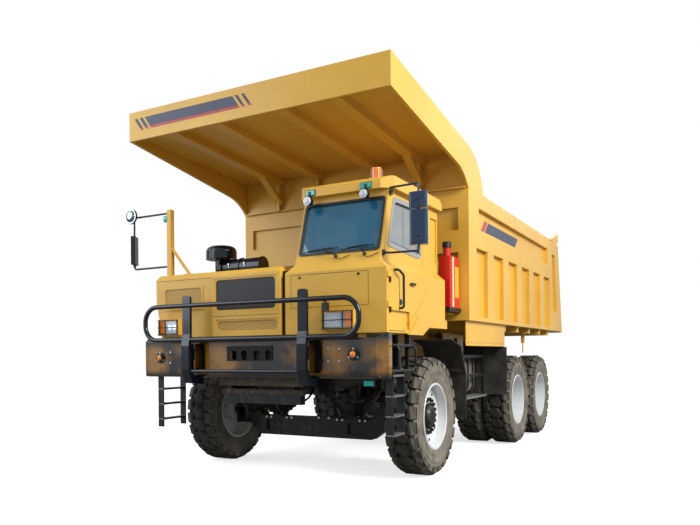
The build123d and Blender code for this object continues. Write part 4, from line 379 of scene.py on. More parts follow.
def make_finishes(colours):
    """All the truck's materials, by the name of the part that they were mixed for."""
    body, dust, rubber = tuple(colours.body), tuple(colours.dust), tuple(colours.rubber)
    chassis, rim = tuple(colours.frame), tuple(colours.rim)
    FINISH.update({
        "body": enamel("sprayed body enamel", body, dust=dust, dust_share=0.06, coat=0.12),
        "chassis": enamel("black chassis enamel", chassis, rough=0.45, dust=dust, dust_share=0.14,
                          coat=0.15),
        "guard": enamel("blue black gloss enamel", linear("#040c1a"), rough=0.2, coat=0.3, wear=0.04),
        # The bumper's golden clouds are partly grime and partly a painted reflection.
        "bumper": grimy_sheened_bumper("bumper enamel with grime and painted sheen", tuple(colours.bumper), tuple(colours.bumper_grime_and_sheen)),
        "rim": enamel("white rim enamel", rim, rough=0.22, dust=dust, dust_share=0.12, wear=0.05),
        "carcass": dusty_rubber("dusty tyre side rubber", rubber, dust, low=0.3, high=0.85, crown=0.03),
        "tread": dusty_rubber("rock tread rubber", rubber, dust, low=0.12, high=0.75, crown=0.22),
        "rubber": dusty_rubber("mudguard rubber", linear("#1b1b1c"), dust, low=0.0, high=0.16),
        "nut": plain_steel("blackened nut steel", linear("#20201f"), rough=0.45, metallic=0.7),
        "bright": plain_steel("zinc plated steel", linear("#b9bbbb"), rough=0.35, metallic=0.9),
        "chrome": plain_steel("hard chrome", linear("#b4b7ba"), rough=0.1, metallic=1.0, stains=0.05),
        "spring": plain_steel("spring steel", linear("#2b2a28"), rough=0.6, metallic=0.6),
        "engine": enamel("engine enamel", linear("#3d4247"), rough=0.4, dust=dust, dust_share=0.3),
        "plastic": moulded_plastic("black ABS", linear("#0f1012"), rough=0.4),
        "housing": moulded_plastic("blue black mirror housing", linear("#1c3450"), rough=0.12),
        "trim": moulded_plastic("cab lining plastic", linear("#2a2b2e"), rough=0.7),
        "seat": moulded_plastic("seat cloth", linear("#191a1c"), rough=0.9, grain=SEAT_WEAVE),
        "glass": window_glass("tinted windscreen glass", linear("#0e6a8c"), alpha=0.55),
        "side_glass": window_glass("pale sliding window glass", linear("#a9b4b8"), alpha=0.42),
        "mirror": plain_steel("mirror silver", linear("#8b949b"), rough=0.05, metallic=1.0, stains=0.05),
        "clear_lens": lens_plastic("clear lamp lens", linear("#b9c4cc")),
        "orange_lens": lens_plastic("orange lamp lens", linear("#d9741c"), glow=0.15),
        "teal_lens": lens_plastic("teal marker lens", linear("#1f9a8e"), glow=0.25),
        "tank": enamel("grey tank enamel", linear("#7b7770"), rough=0.5, dust=dust, dust_share=0.3,
                       coat=0.1),
        "red": enamel("red tank enamel", linear("#c41f16"), rough=0.28),
        "cream": enamel("cream label film", linear("#e3d3b2"), rough=0.4, coat=0.1),
        "stripe": enamel("dark decal film", tuple(colours.stripe_dark), rough=0.35, coat=0.2, wear=0.05),
        "stripe_red": enamel("red decal film", tuple(colours.stripe_red), rough=0.35, coat=0.2, wear=0.05),
        # The meshes' dark openings are painted shade.
        "mesh": perforated("perforated enamelled sheet", shade(body, 0.9), linear("#4a3208")),
        "mesh_black": perforated("black radiator mesh", linear("#161315"), linear("#010101")),
        "label": enamel("yellow label film", linear("#d9a32a"), rough=0.4, coat=0.1),
        "seal": moulded_plastic("black window seal", linear("#0b0c0d"), rough=0.6),
        "frame_grey": enamel("window frame grey", linear("#8f9294"), rough=0.35),
        # The two primers of the bars under the bumper are darkened towards black: painted shade behind the
        # guard bar.
        "olive": enamel("olive primer darkened as painted shade", linear("#3b2f14"), rough=0.5, dust=dust, dust_share=0.3),
        "shaded_primer": enamel("primer darkened as painted shade", linear("#30261a"), rough=0.6, dust=dust, dust_share=0.3),
    })


def paint(node, first, *others):
    """Gives a CAD node its finish, and other finishes to the faces whose middle a test picks out."""
    mesh = frame["nodes"][node].data
    mesh.materials.clear()
    mesh.materials.append(FINISH[first])
    for finish, test in others:
        if FINISH[finish].name not in mesh.materials:
            mesh.materials.append(FINISH[finish])
        index = mesh.materials.find(FINISH[finish].name)
        for face in mesh.polygons:
            if test(face.center - TO_FRAME, face.normal):
                face.material_index = index


FAR = 99.0
ALL = (-FAR, FAR)


def zone(x=ALL, y=ALL, z=ALL, front=False):
    """Picks out the faces whose middle lies in a box, or of them only those that face forwards."""
    def test(at, way):
        inside = all(low < at[axis] < high for axis, (low, high) in enumerate((x, y, z)))
        return inside and (way.y < -0.9 or not front)
    return test


PAINT = (
    # nodes, their finish, then (other finish, zone of the faces that have it)
    ("bed_tub bed_underframe tailgate bed_canopy cab_shell hood", "body"),
    ("cab_door", "body", ("plastic", zone(x=(1.722, FAR)))),
    # Under the bumper, behind the guard bar, these primers are darkened as painted shade.
    ("frame_cross_members", "chassis", ("olive", zone(x=(-0.63, 0.63), y=(-FAR, -1.33), z=(1.16, FAR))),
     ("shaded_primer", zone(x=(-0.61, 0.61), y=(-FAR, -1.33), z=(1.055, 1.125)))),
    ("frame_rails frame_brackets body_mounts front_axle drive_axles tie_rod knuckle_left knuckle_right"
     " tank_platform hoist_barrels", "chassis"),
    ("hoist_stage_1 hoist_stage_2 hoist_rods", "chrome"),
    ("leaf_springs", "spring"),
    ("power_train", "engine"),
    ("bumper", "bumper", ("nut", zone(x=(-0.4, 0.29), y=(-FAR, -1.563), z=(1.46, 1.67)))),
    ("guard_frame air_cleaner", "guard"),
    ("hood_grilles", "body", ("mesh", zone(y=(-1.505, FAR), front=True)),
     ("mesh_black", zone(x=(-0.7, FAR), y=(-1.505, FAR), z=(2.0, FAR), front=True))),
    ("mirrors", "plastic", ("body", zone(x=(-1.6, -1.0))), ("housing", zone(x=(1.9, FAR)))),
    ("lamps", "plastic", ("body", zone(z=(1.7, 2.1))),
     ("clear_lens", zone(y=(-1.556, FAR), z=(1.7, 2.1), front=True)),
     ("orange_lens", zone(z=(3.595, FAR))),
     ("teal_lens", zone(x=(-FAR, -1.55), z=(3.3, 3.5))),
     ("clear_lens", zone(x=(0, FAR), z=(3.3, 3.42), front=True))),
    ("cab_glass", "glass"),
    ("door_glass", "side_glass"),
    ("cab_interior", "trim", ("seat", zone(y=(-0.62, FAR)))),
    ("front_mudguards bed_rubbers", "rubber"),
    ("steps_and_guards", "plastic"),
    ("side_equipment", "tank", ("plastic", zone(y=(2.299, 2.366))), ("plastic", zone(y=(2.539, 2.606)))),
    ("red_tank", "red", ("plastic", zone(z=(2.97, FAR)))),
)


HUB_RADIUS = 0.152
HUB_X = 1.62


def hub_test(y):
    """Picks out the faces of the hub that stands out of a front wheel's disc."""
    return lambda at, way: math.hypot(at.y - y, at.z - AXLE_Z) < HUB_RADIUS and abs(at.x) > HUB_X


def paint_nodes():
    """Gives every CAD node its finishes."""
    for nodes, *finishes in PAINT:
        for node in nodes.split():
            paint(node, *finishes)
    for body, _, y, node in WHEELS:
        hub = [("chassis", hub_test(y))] if "front" in body else []
        paint(node.replace("tyre", "rim"), "rim", *hub)


# Meshes


def slab(bm, low, high):
    """A block between two corners."""
    size = [high[k] - low[k] for k in range(3)]
    middle = [(high[k] + low[k]) / 2 for k in range(3)]
    made = bmesh.ops.create_cube(bm, size=1.0)["verts"]
    bmesh.ops.scale(bm, vec=size, verts=made)
    bmesh.ops.translate(bm, vec=middle, verts=made)


def side_slab(bm, side, x, y, z):
    """A block on one side of the truck, between two distances from its middle, two y and two z."""
    low, high = sorted((side * x[0], side * x[1]))
    slab(bm, (low, y[0], z[0]), (high, y[1], z[1]))


def bar(bm, start, end, radius, sides=12):
    """A round bar between two points."""
    start, end = Vector(start), Vector(end)
    way = end - start
    turn = way.to_track_quat("Z", "Y").to_matrix().to_4x4()
    turn.translation = (start + end) / 2
    bmesh.ops.create_cone(bm, cap_ends=True, segments=sides, radius1=radius, radius2=radius,
                          depth=way.length, matrix=turn)


def turns(count, first=0.0):
    """The angles of evenly spaced places on a circle."""
    return [first + math.tau * k / count for k in range(count)]


def skin(bm, rings, closed=False):
    """Quads between each ring of vertices and the next, and back to the first ring if closed."""
    after = rings[1:] + rings[:1] if closed else rings[1:]
    for one, two in zip(rings, after):
        for k in range(len(one)):
            n = (k + 1) % len(one)
            bm.faces.new((one[k], one[n], two[n], two[k]))


def prism(bm, low, high):
    """The body between two outlines with as many points."""
    rings = [[bm.verts.new(point) for point in outline] for outline in (low, high)]
    bm.faces.new(rings[1])
    bm.faces.new(list(reversed(rings[0])))
    skin(bm, rings)


def lathe(bm, profile, centre, sides):
    """A closed (across, radius) outline turned about a line along X through the centre."""
    x, y, z = centre
    skin(bm, [[bm.verts.new((x + across, y + radius * math.cos(turn), z + radius * math.sin(turn)))
               for turn in turns(sides)] for across, radius in profile], closed=True)


def new_object(name, data):
    """A new object of the scene."""
    made = bpy.data.objects.new(name, data)
    bpy.context.scene.collection.objects.link(made)
    return made


def finish_piece(name, bm, body, finish, bevel=0.0, smooth=False):
    """Turns a bmesh into a named piece in the frame's place that rides on a body."""
    bmesh.ops.recalc_face_normals(bm, faces=bm.faces)
    mesh = bpy.data.meshes.new(name)
    bm.to_mesh(mesh)
    bm.free()
    mesh.transform(Matrix.Translation(TO_FRAME))
    mesh.materials.append(FINISH[finish])
    made = new_object(name, mesh)
    if smooth:
        mesh.shade_smooth()
        mesh.set_sharp_from_angle(angle=math.radians(35))
    if bevel:
        rounder = made.modifiers.new("rounded edges", "BEVEL")
        rounder.width = bevel
        rounder.segments = 2
        rounder.limit_method = "ANGLE"
    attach(made, body)
    return made


def start_copies(name, **inputs):
    """A geometry nodes tree that takes a geometry and other inputs, with its input node's outputs."""
    tree = bpy.data.node_groups.new(name, "GeometryNodeTree")
    for label, kind in {"Geometry": "Geometry", **inputs, "Material": "Material"}.items():
        tree.interface.new_socket(label, in_out="INPUT", socket_type="NodeSocket" + kind)
    tree.interface.new_socket("Geometry", in_out="OUTPUT", socket_type="NodeSocketGeometry")
    return tree, add(tree, "NodeGroupInput").outputs


def end_copies(tree, points, copied, rotation, material):
    """Puts a turned copy on each point, makes the copies real and gives them their material."""
    placed = add(tree, "GeometryNodeInstanceOnPoints", {"Points": points, "Instance": copied,
                                                        "Rotation": rotation}).outputs[0]
    real = add(tree, "GeometryNodeRealizeInstances", {0: placed}).outputs[0]
    done = add(tree, "GeometryNodeSetMaterial", {"Geometry": real, "Material": material}).outputs[0]
    add(tree, "NodeGroupOutput", {0: done})
    return tree


def fastener_tree():
    """Geometry nodes that put a short head with a given number of sides, such as a hexagon, on each point,
    turned to the point's facing.
    """
    tree, given = start_copies("fasteners on points", Radius="Float", Height="Float", Sides="Int")
    head = add(tree, "GeometryNodeMeshCylinder", {"Vertices": given["Sides"], "Radius": given["Radius"],
                                                  "Depth": given["Height"]}).outputs[0]
    named = add(tree, "GeometryNodeInputNamedAttribute", {"Name": "facing"}, data_type="FLOAT_VECTOR")
    turn = add(tree, "FunctionNodeAlignRotationToVector", {"Vector": named.outputs[0]}, axis="Z").outputs[0]
    return end_copies(tree, given["Geometry"], head, turn, given["Material"])


def ring_tree():
    """Geometry nodes that repeat a mesh around a line along X through a centre."""
    tree, given = start_copies("ring of copies", Count="Int", Centre="Vector")
    all_at_centre = {"Count": given["Count"], "Position": given["Centre"]}
    points = add(tree, "GeometryNodePoints", all_at_centre).outputs[0]
    index = add(tree, "GeometryNodeInputIndex").outputs[0]
    step = maths(tree, "DIVIDE", math.tau, given["Count"])
    turn = add(tree, "ShaderNodeCombineXYZ", {0: maths(tree, "MULTIPLY", index, step)}).outputs[0]
    rotation = add(tree, "FunctionNodeEulerToRotation", {0: turn}).outputs[0]
    return end_copies(tree, points, given["Geometry"], rotation, given["Material"])


TREE_MAKERS = {"fasteners": fastener_tree, "ring": ring_tree}
TREES = {}


def grown(name, start_mesh, tree_name, body, values):
    """Runs a tree on a mesh, keeps the result as a plain mesh and lets it ride on a body."""
    if tree_name not in TREES:
        TREES[tree_name] = TREE_MAKERS[tree_name]()
    tree = TREES[tree_name]
    seed = new_object(name + "_seed", start_mesh)
    modifier = seed.modifiers.new("copies", "NODES")
    modifier.node_group = tree
    sockets = {item.name: item.identifier for item in tree.interface.items_tree if item.in_out == "INPUT"}
    for key, value in values.items():
        modifier[sockets[key]] = value
    evaluated = seed.evaluated_get(bpy.context.evaluated_depsgraph_get())
    mesh = bpy.data.meshes.new_from_object(evaluated)
    mesh.name = name
    bpy.data.objects.remove(seed)
    made = new_object(name, mesh)
    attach(made, body)
    return made


def fasteners(name, body, points, radius, height, finish, sides=6):
    """Bolt heads, nuts or rivets on points of (place, facing)."""
    mesh = bpy.data.meshes.new(name + "_points")
    mesh.from_pydata([Vector(place) + TO_FRAME for place, _ in points], [], [])
    facing = mesh.attributes.new("facing", "FLOAT_VECTOR", "POINT")
    facing.data.foreach_set("vector", [v for _, way in points for v in way])
    return grown(name, mesh, "fasteners", body,
                 {"Radius": radius, "Height": height, "Sides": sides, "Material": FINISH[finish]})


# Tyres

# The tyre's shoulders fall away from this distance from its middle, by so much for each metre further out.
SHOULDER_START = 0.165
SHOULDER_FALL = 1.1
BLOCK_TAPER = 0.93
BLOCK_ROOT = 0.012
# Tread blocks as (across, along), with the way along in shares of a pitch.
MIDDLE_BLOCK = ((-0.1, -0.1), (-0.062, -0.46), (0.03, -0.42), (0.1, 0.1), (0.062, 0.46), (-0.03, 0.42))
SHOULDER_BLOCK = ((0.205, -0.4), (0.205, 0.4), (0.15, 0.45), (0.082, 0.3), (0.112, -0.04), (0.078, -0.3),
                  (0.13, -0.46))
CLEAT_WIDTH = 0.36
CLEAT_ROOT = 0.195
CLEAT_ENDS = (
    # below the lug's tip, share of its width
    (0.042, 1.0),
    (0.105, 0.8),
)
TYRE_BEAD = ((0.188, 0.4262), (0.198, 0.448), (0.2, 0.47), (0.205, 0.475), (0.207, 0.5), (0.203, 0.503))
TYRE_WALL = (
    # inwards from the tyre's widest, radius
    (0.004, 0.56), (0.001, 0.565), (0.001, 0.585), (0.005, 0.59), (0.006, 0.625), (0.002, 0.63),
    (0.003, 0.64), (0.012, 0.648), (0.022, 0.685),
)
TYRE_SHOULDER = (0.168, 0.714)
TYRE_CROWN = 0.11
TYRE_SIDES = 72


def block(bm, outline, centre_x, low, high):
    """One tread block: an (across, along) outline raised from the carcass, narrower at its top."""
    mid_a = sum(p[0] for p in outline) / len(outline)
    mid_b = sum(p[1] for p in outline) / len(outline)
    rings = []
    for radius, part in ((low, 1.0), (high, BLOCK_TAPER)):
        ring = []
        for across, along in outline:
            a = mid_a + (across - mid_a) * part
            turn = (mid_b + (along - mid_b) * part) / high
            r = radius - max(0.0, abs(a) - SHOULDER_START) * SHOULDER_FALL
            ring.append((centre_x + a, r * math.sin(turn), -r * math.cos(turn)))
        rings.append(ring)
    prism(bm, *rings)


def tread_blocks(bm, sizes, centre_x):
    """The blocks of one pitch: a slanted one in the middle and one on each shoulder, with narrow grooves."""
    pitch = math.tau * sizes.tip / sizes.count
    low, high = sizes.carcass - BLOCK_ROOT, sizes.tip
    block(bm, [(a, b * pitch) for a, b in MIDDLE_BLOCK], centre_x, low, high)
    for side in (-1, 1):
        along = side * 0.5 * pitch
        block(bm, [(side * a, side * b * pitch + along) for a, b in SHOULDER_BLOCK], centre_x, low, high)
        side_cleat(bm, centre_x, side, along, pitch, sizes)


def side_cleat(bm, centre_x, side, along, pitch, sizes):
    """The part of a shoulder block that runs down the tyre's side."""
    turn = along / sizes.tip
    wide = CLEAT_WIDTH * pitch / sizes.tip
    corners = []
    for below, share in CLEAT_ENDS:
        radius = sizes.tip - below
        for depth in (CLEAT_ROOT, sizes.half_width):
            for part in (-1, 1):
                angle = turn + part * wide * share
                place = (centre_x + side * depth, radius * math.sin(angle), -radius * math.cos(angle))
                corners.append(bm.verts.new(place))
    a, b, c, d, e, f, g, h = corners
    for quad in ((a, b, d, c), (e, f, h, g), (a, b, f, e), (c, d, h, g), (a, c, g, e), (b, d, h, f)):
        bm.faces.new(quad)


def tyre_side(sizes):
    """The tyre's own outline: beads, bulging sides with rings, and the grooves' bottom."""
    wall = [(sizes.half_width - inwards, radius) for inwards, radius in TYRE_WALL]
    side = [*TYRE_BEAD, *wall, TYRE_SHOULDER, (TYRE_CROWN, sizes.carcass), (0.0, sizes.carcass + 0.001)]
    left = [(-a, r) for a, r in side[:-1]]
    return side + list(reversed(left))


def make_tyres(sizes):
    """Each wheel's carcasses and their tread, grown from the blocks of one pitch."""
    for body, across, y, node in WHEELS:
        carcass, lugs = bmesh.new(), bmesh.new()
        for x in across:
            lathe(carcass, tyre_side(sizes), (x, y, AXLE_Z), TYRE_SIDES)
            tread_blocks(lugs, sizes, x)
        shell = finish_piece(node + "_carcass", carcass, body, "carcass", smooth=True)
        bmesh.ops.recalc_face_normals(lugs, faces=lugs.faces)
        mesh = bpy.data.meshes.new(node + "_pitch")
        lugs.to_mesh(mesh)
        lugs.free()
        mesh.transform(Matrix.Translation((TO_FRAME.x, 0, 0)))
        centre = (0.0, y + TO_FRAME.y, AXLE_Z)
        tread = grown(node + "_tread", mesh, "ring", body,
                      {"Count": sizes.count, "Centre": centre, "Material": FINISH["tread"]})
        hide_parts(node)


# Distances from the truck's middle to the faces of the wheels' discs, and the circles on them.
FRONT_DISC_X = 1.605
REAR_DISC_X = 1.41
FRONT_NUTS_RADIUS = 0.215
REAR_NUTS_RADIUS = 0.235
NUT_COUNT = 18
NUT_HEIGHT = 0.045
NUT_LIFT = 0.02
HAND_HOLES = 8
HAND_HOLES_RADIUS = 0.315
HAND_HOLES_TURN = 0.2
HAND_HOLE = 0.022
LOCK_RINGS = (
    # outer radius, across from the tyre's middle, thickness
    (0.4235, 0.188, 0.008),
    (0.408, 0.191, 0.006),
)
HUB_RINGS = (
    # sides, (across from the tyre's middle, radius) of the hub's ring and of its cap
    (48, ((0.076, 0.151), (0.1, 0.168), (0.12, 0.168), (0.13, 0.153), (0.1, 0.1515))),
    (32, ((0.149, 0.0001), (0.149, 0.06), (0.151, 0.062), (0.151, 0.0001))),
)


def on_wheel(x, y, radius, count, first=0.0):
    """Places around an axle, each with the way that they face: outwards from the truck."""
    outwards = (math.copysign(1, x), 0, 0)
    return [((x, y + radius * math.cos(turn), AXLE_Z + radius * math.sin(turn)), outwards)
            for turn in turns(count, first)]


def turned_trim(name, body, side, centre, outlines, finish):
    """A piece of outlines turned about a wheel's axle, each mirrored to its side of the truck."""
    rings = bmesh.new()
    for sides, outline in outlines:
        lathe(rings, [(side * across, radius) for across, radius in outline], centre, sides)
    finish_piece(name, rings, body, finish, smooth=True)


def make_wheel_trim(sizes):
    """Nuts, thin black discs of painted shade where the hand holes are, and lock rings on the rims, and
    rings and caps on the front hubs.
    """
    lock_rings = [(72, ((x, radius - thick), (x + thick * 0.6, radius - thick * 0.5), (x, radius),
                        (x - thick, radius - thick * 0.5))) for radius, x, thick in LOCK_RINGS]
    for body, across, y, node in WHEELS:
        side = math.copysign(1, across[0])
        front = "front" in body
        disc_x = side * (FRONT_DISC_X if front else REAR_DISC_X)
        nuts_radius = FRONT_NUTS_RADIUS if front else REAR_NUTS_RADIUS
        nuts = on_wheel(disc_x + side * NUT_LIFT, y, nuts_radius, NUT_COUNT)
        fasteners(node + "_nuts", body, nuts, sizes.nut, NUT_HEIGHT, "nut")
        # Each hand hole is a thin black disc: painted shade where the hole shows the dark inside of the
        # wheel.
        holes = on_wheel(disc_x + side * 0.001, y, HAND_HOLES_RADIUS, HAND_HOLES, HAND_HOLES_TURN)
        fasteners(node + "_hand_hole_shade", body, holes, HAND_HOLE, height=0.004, finish="seal", sides=16)
        centre = (across[0], y, AXLE_Z)
        turned_trim(node + "_lock_ring", body, side, centre, lock_rings, "rim")
        if front:
            turned_trim(node + "_hub_ring", body, side, centre, HUB_RINGS, "nut")


# Thin plates, pipes and rings for the trim


def plate(bm, points, way, thick=0.0008, lift=0.0004):
    """A flat outline given a small thickness along a way."""
    way = Vector(way)
    prism(bm, *([Vector(p) + way * height for p in points] for height in (lift, lift + thick)))


def inset(outline, width):
    """A convex (u, v) outline with each side moved inwards by a width."""
    count = len(outline)
    area = sum(a[0] * b[1] - b[0] * a[1] for a, b in zip(outline, outline[1:] + outline[:1]))
    sense = 1 if area > 0 else -1
    sides = []
    for k in range(count):
        a, b = Vector(outline[k]), Vector(outline[(k + 1) % count])
        way = (b - a).normalized()
        normal = Vector((-way.y, way.x)) * sense
        sides.append((a + normal * width, way))
    result = []
    for k in range(count):
        (p, d), (q, e) = sides[k - 1], sides[k]
        cross = d.x * e.y - d.y * e.x
        t = ((q.x - p.x) * e.y - (q.y - p.y) * e.x) / cross
        result.append((p.x + d.x * t, p.y + d.y * t))
    return result


def rounded(outline, cut, steps=4):
    """An outline whose corners are replaced by small arcs."""
    result = []
    count = len(outline)
    for k in range(count):
        a, b, c = (Vector(outline[(k + d) % count]) for d in (-1, 0, 1))
        start = b + (a - b).normalized() * cut
        end = b + (c - b).normalized() * cut
        for s in range(steps + 1):
            t = s / steps
            point = start.lerp(b, t).lerp(b.lerp(end, t), t)
            result.append(tuple(point))
    return result


def ring_plate(bm, outer, inner, at, low, high):
    """A flat ring between two outlines and two heights; at(u, v, height) gives the places of its corners."""
    edges = ((outer, low), (outer, high), (inner, high), (inner, low))
    rings = [[bm.verts.new(at(u, v, height)) for u, v in outline] for outline, height in edges]
    skin(bm, rings, closed=True)


def rounded_frame(bm, outline, at, outer, inner, low, high):
    """A ring along an outline; outer and inner are each edge's (inset, cut of its corners)."""
    edges = [rounded(inset(outline, width), cut) for width, cut in (outer, inner)]
    ring_plate(bm, *edges, at, low, high)


def pipe(bm, points, radius, sides=8, steps=6):
    """A round pipe or hose that runs smoothly through its points."""
    corners = [Vector(p) for p in points]
    padded = [corners[0], *corners, corners[-1]]
    line = [corners[0]]
    for before, a, b, after in zip(padded, padded[1:], padded[2:], padded[3:]):
        for s in range(1, steps + 1):
            t = s / steps
            line.append(0.5 * (2 * a + (b - before) * t + (2 * before - 5 * a + 4 * b - after) * t * t
                               + (3 * a - before - 3 * b + after) * t * t * t))
    side = None
    rings = []
    for k, place in enumerate(line):
        way = (line[min(k + 1, len(line) - 1)] - line[max(k - 1, 0)]).normalized()
        side = way.orthogonal() if side is None else (side - way * side.dot(way))
        side.normalize()
        other = way.cross(side)
        rings.append([bm.verts.new(place + side * radius * math.cos(turn) + other * radius * math.sin(turn))
                      for turn in turns(sides)])
    skin(bm, rings)
    bm.faces.new(list(reversed(rings[0])))
    bm.faces.new(rings[-1])


def dome(bm, centre, radius, squash=(1, 1, 1), sides=20):
    """A ball squashed along the axes."""
    turn = Matrix.Translation(centre) @ Matrix.Diagonal((*squash, 1))
    bmesh.ops.create_uvsphere(bm, u_segments=sides, v_segments=sides // 2, radius=radius, matrix=turn)


# Decals on the bed and the canopy

FASCIA_Y = -1.69
FASCIA_TOP = 4.659
FASCIA_LOW = 4.5
FASCIA_SLANT = 0.112
FASCIA_BANDS = (
    # right end, left end across, at the decal's upper edge
    (-1.777, -1.728),
    (-1.689, -1.636),
    (-1.6, -0.19),
    (-0.154, -0.113),
    (-0.06, -0.019),
)
FASCIA_RED = 0.034
RECESS_X = 1.81
RECESS_LOW = 3.35
RECESS_TOP = 3.515
RECESS_BANDS = (
    # finish, upper front y, upper rear y, lower front y, lower rear y
    ("stripe_red", 1.9, 2.06, 1.72, 1.88),
    ("stripe", 2.1, 3.9, 1.92, 3.7),
)


def fascia_slant(z):
    """How far the canopy's bands have leaned over at a height."""
    return FASCIA_SLANT * (FASCIA_TOP - z) / (FASCIA_TOP - FASCIA_LOW)


def make_decals():
    """Plain slanted bands where the photo's truck carries its decals."""
    bands = {"stripe": bmesh.new(), "stripe_red": bmesh.new()}
    red_top = FASCIA_LOW + FASCIA_RED
    for x0, x1 in FASCIA_BANDS:
        for finish, top, low in (("stripe", FASCIA_TOP, red_top), ("stripe_red", red_top, FASCIA_LOW)):
            corners = ((x0, top), (x1, top), (x1, low), (x0, low))
            plate(bands[finish], [(x + fascia_slant(z), FASCIA_Y, z) for x, z in corners], FORWARDS)
    for finish, y0, y1, y2, y3 in RECESS_BANDS:
        corners = ((y0, RECESS_TOP), (y1, RECESS_TOP), (y3, RECESS_LOW), (y2, RECESS_LOW))
        for side in (1, -1):
            plate(bands[finish], [(side * RECESS_X, y, z) for y, z in corners], (side, 0, 0))
    finish_piece("decal_dark_bands", bands["stripe"], "bed", "stripe")
    finish_piece("decal_red_bands", bands["stripe_red"], "bed", "stripe_red")


# Cab

SEAM_HALF = 0.0025
CAB_SIDE_X = 1.62
CAB_FRONT_Y = -1.5
# The windscreen wall rises from this line, leans back by this share, and faces along this way.
SCREEN_FOOT = (-1.4, 2.69)
SCREEN_LEAN = 0.2 / 0.65
SCREEN_FACING = Vector((0, -0.956, 0.294))
SCREEN = ((0.56, 2.715), (1.58, 2.715), (1.58, 3.325), (0.56, 3.325))
WINDOW = ((-1.215, 2.79), (-0.28, 2.745), (-0.24, 2.83), (-0.33, 3.335), (-1.05, 3.32))
WINDOW_SASH = ((1.592, -0.75, 2.8), (1.6, -0.715, 3.31))
VISOR_MARKERS = ((0.585, 0.705), (1.31, 1.435))
MARKER_LOW = 3.437
MARKER_TOP = 3.497
MARKER_Y = (-1.2855, -1.2705)
MARKER_FRAME = 0.008
MARKER_FRAME_Y = (-1.2745, -1.2702)
VISOR_LAMPS_X = (0.64, 1.375)
VISOR_LAMPS_Y = -1.352
VISOR_LAMPS_Z = 3.36
WIPER_PIVOT_Z = 2.665
WIPERS = (
    # pivot across, blade's right end, blade's left end
    (1.06, 0.6, 1.08),
    (1.42, 1.12, 1.52),
)
# Places on a wiper as (z, off the wall), from its pivot outwards or along its blade.
WIPER_SPINDLE = ((WIPER_PIVOT_Z, -0.005), (WIPER_PIVOT_Z, 0.035))
WIPER_ARM = ((WIPER_PIVOT_Z, 0.03), (2.72, 0.034), (2.757, 0.022))
WIPER_BLADE = ((2.735, 0.014), (2.765, 0.014))
WIPER_RAIL = ((2.746, 0.022), (2.77, 0.022))
RAIL_INSET = 0.08
WASHER_HOSE = (
    # left of the wiper's pivot, height, off the wall
    (-0.02, 2.655, 0.01),
    (0.05, 2.62, 0.03),
    (0.13, 2.64, 0.03),
    (0.17, 2.668, 0.012),
)
PANEL = ((0.5, 2.09), (1.5, 2.09), (1.5, 2.47), (0.5, 2.47))
PANEL_LATCHES = ((0.62, 2.44), (1.38, 2.44))
HOOD_SEAL = ((0.361, -1.46, 1.8), (0.419, -1.44, 2.54))
DOOR_X = 1.7205
DOOR_LOCK = (-1.11, 2.13)
DOOR_HANDLE = (-0.78, 2.36)
HANDLE_PLATE = ((1.735, -0.84, 2.345), (1.747, -0.7, 2.373))
BEACON = (1.335, -0.9, 3.56)
BEACON_RADIUS = 0.063
# Heights above the beacon's foot: of the lens's seat and shoulder, and of the cage's foot, bend and top.
BEACON_LENS = (0.035, 0.165)
CAGE_HEIGHTS = (0.02, 0.16, 0.192)
CAGE_RADIUS = 0.073
CAGE_WIRES = 8


def on_screen(x, z, lift):
    """A place on the sloping windscreen wall, lifted off it."""
    foot_y, foot_z = SCREEN_FOOT
    return Vector((x, foot_y + (z - foot_z) * SCREEN_LEAN, z)) + SCREEN_FACING * lift


def on_side(y, z, lift):
    """A place on the cab's left side above the waist."""
    return Vector((CAB_SIDE_X + lift, y, z))


def on_front(x, z, lift):
    """A place on the cab's flat front."""
    return Vector((x, CAB_FRONT_Y - lift, z))


def along_screen(across, course):
    """Places on the windscreen wall, from how far across each is and its (z, lift)."""
    return [on_screen(x, z, lift) for x, (z, lift) in zip(across, course)]


def make_wipers(bm):
    """Two wipers that rest along the windscreen's foot, with their arms, blades and washer hoses."""
    for pivot, low, high in WIPERS:
        middle = (low + high) / 2
        elbow = (pivot + middle) / 2
        bar(bm, *along_screen((pivot, pivot), WIPER_SPINDLE), radius=0.016)
        pipe(bm, along_screen((pivot, elbow, middle), WIPER_ARM), radius=0.007)
        bar(bm, *along_screen((low, high), WIPER_BLADE), radius=0.0065)
        bar(bm, *along_screen((low + RAIL_INSET, high - RAIL_INSET), WIPER_RAIL), radius=0.006)
        pipe(bm, [on_screen(pivot + left, z, lift) for left, z, lift in WASHER_HOSE], radius=0.0045)


def make_beacon(lens, wire):
    """The beacon's lens with a domed top, and the wire cage around it."""
    x, y, foot = BEACON
    seat, shoulder = (foot + up for up in BEACON_LENS)
    low, bend, top = (foot + up for up in CAGE_HEIGHTS)
    bar(lens, (x, y, seat), (x, y, shoulder), BEACON_RADIUS, sides=28)
    dome(lens, (x, y, shoulder), BEACON_RADIUS, squash=(1, 1, 0.35), sides=28)
    for turn in turns(CAGE_WIRES):
        at = (x + CAGE_RADIUS * math.cos(turn), y + CAGE_RADIUS * math.sin(turn))
        bar(wire, (*at, low), (*at, bend), radius=0.003, sides=6)
        bar(wire, (*at, bend), (x, y, top), radius=0.003, sides=6)


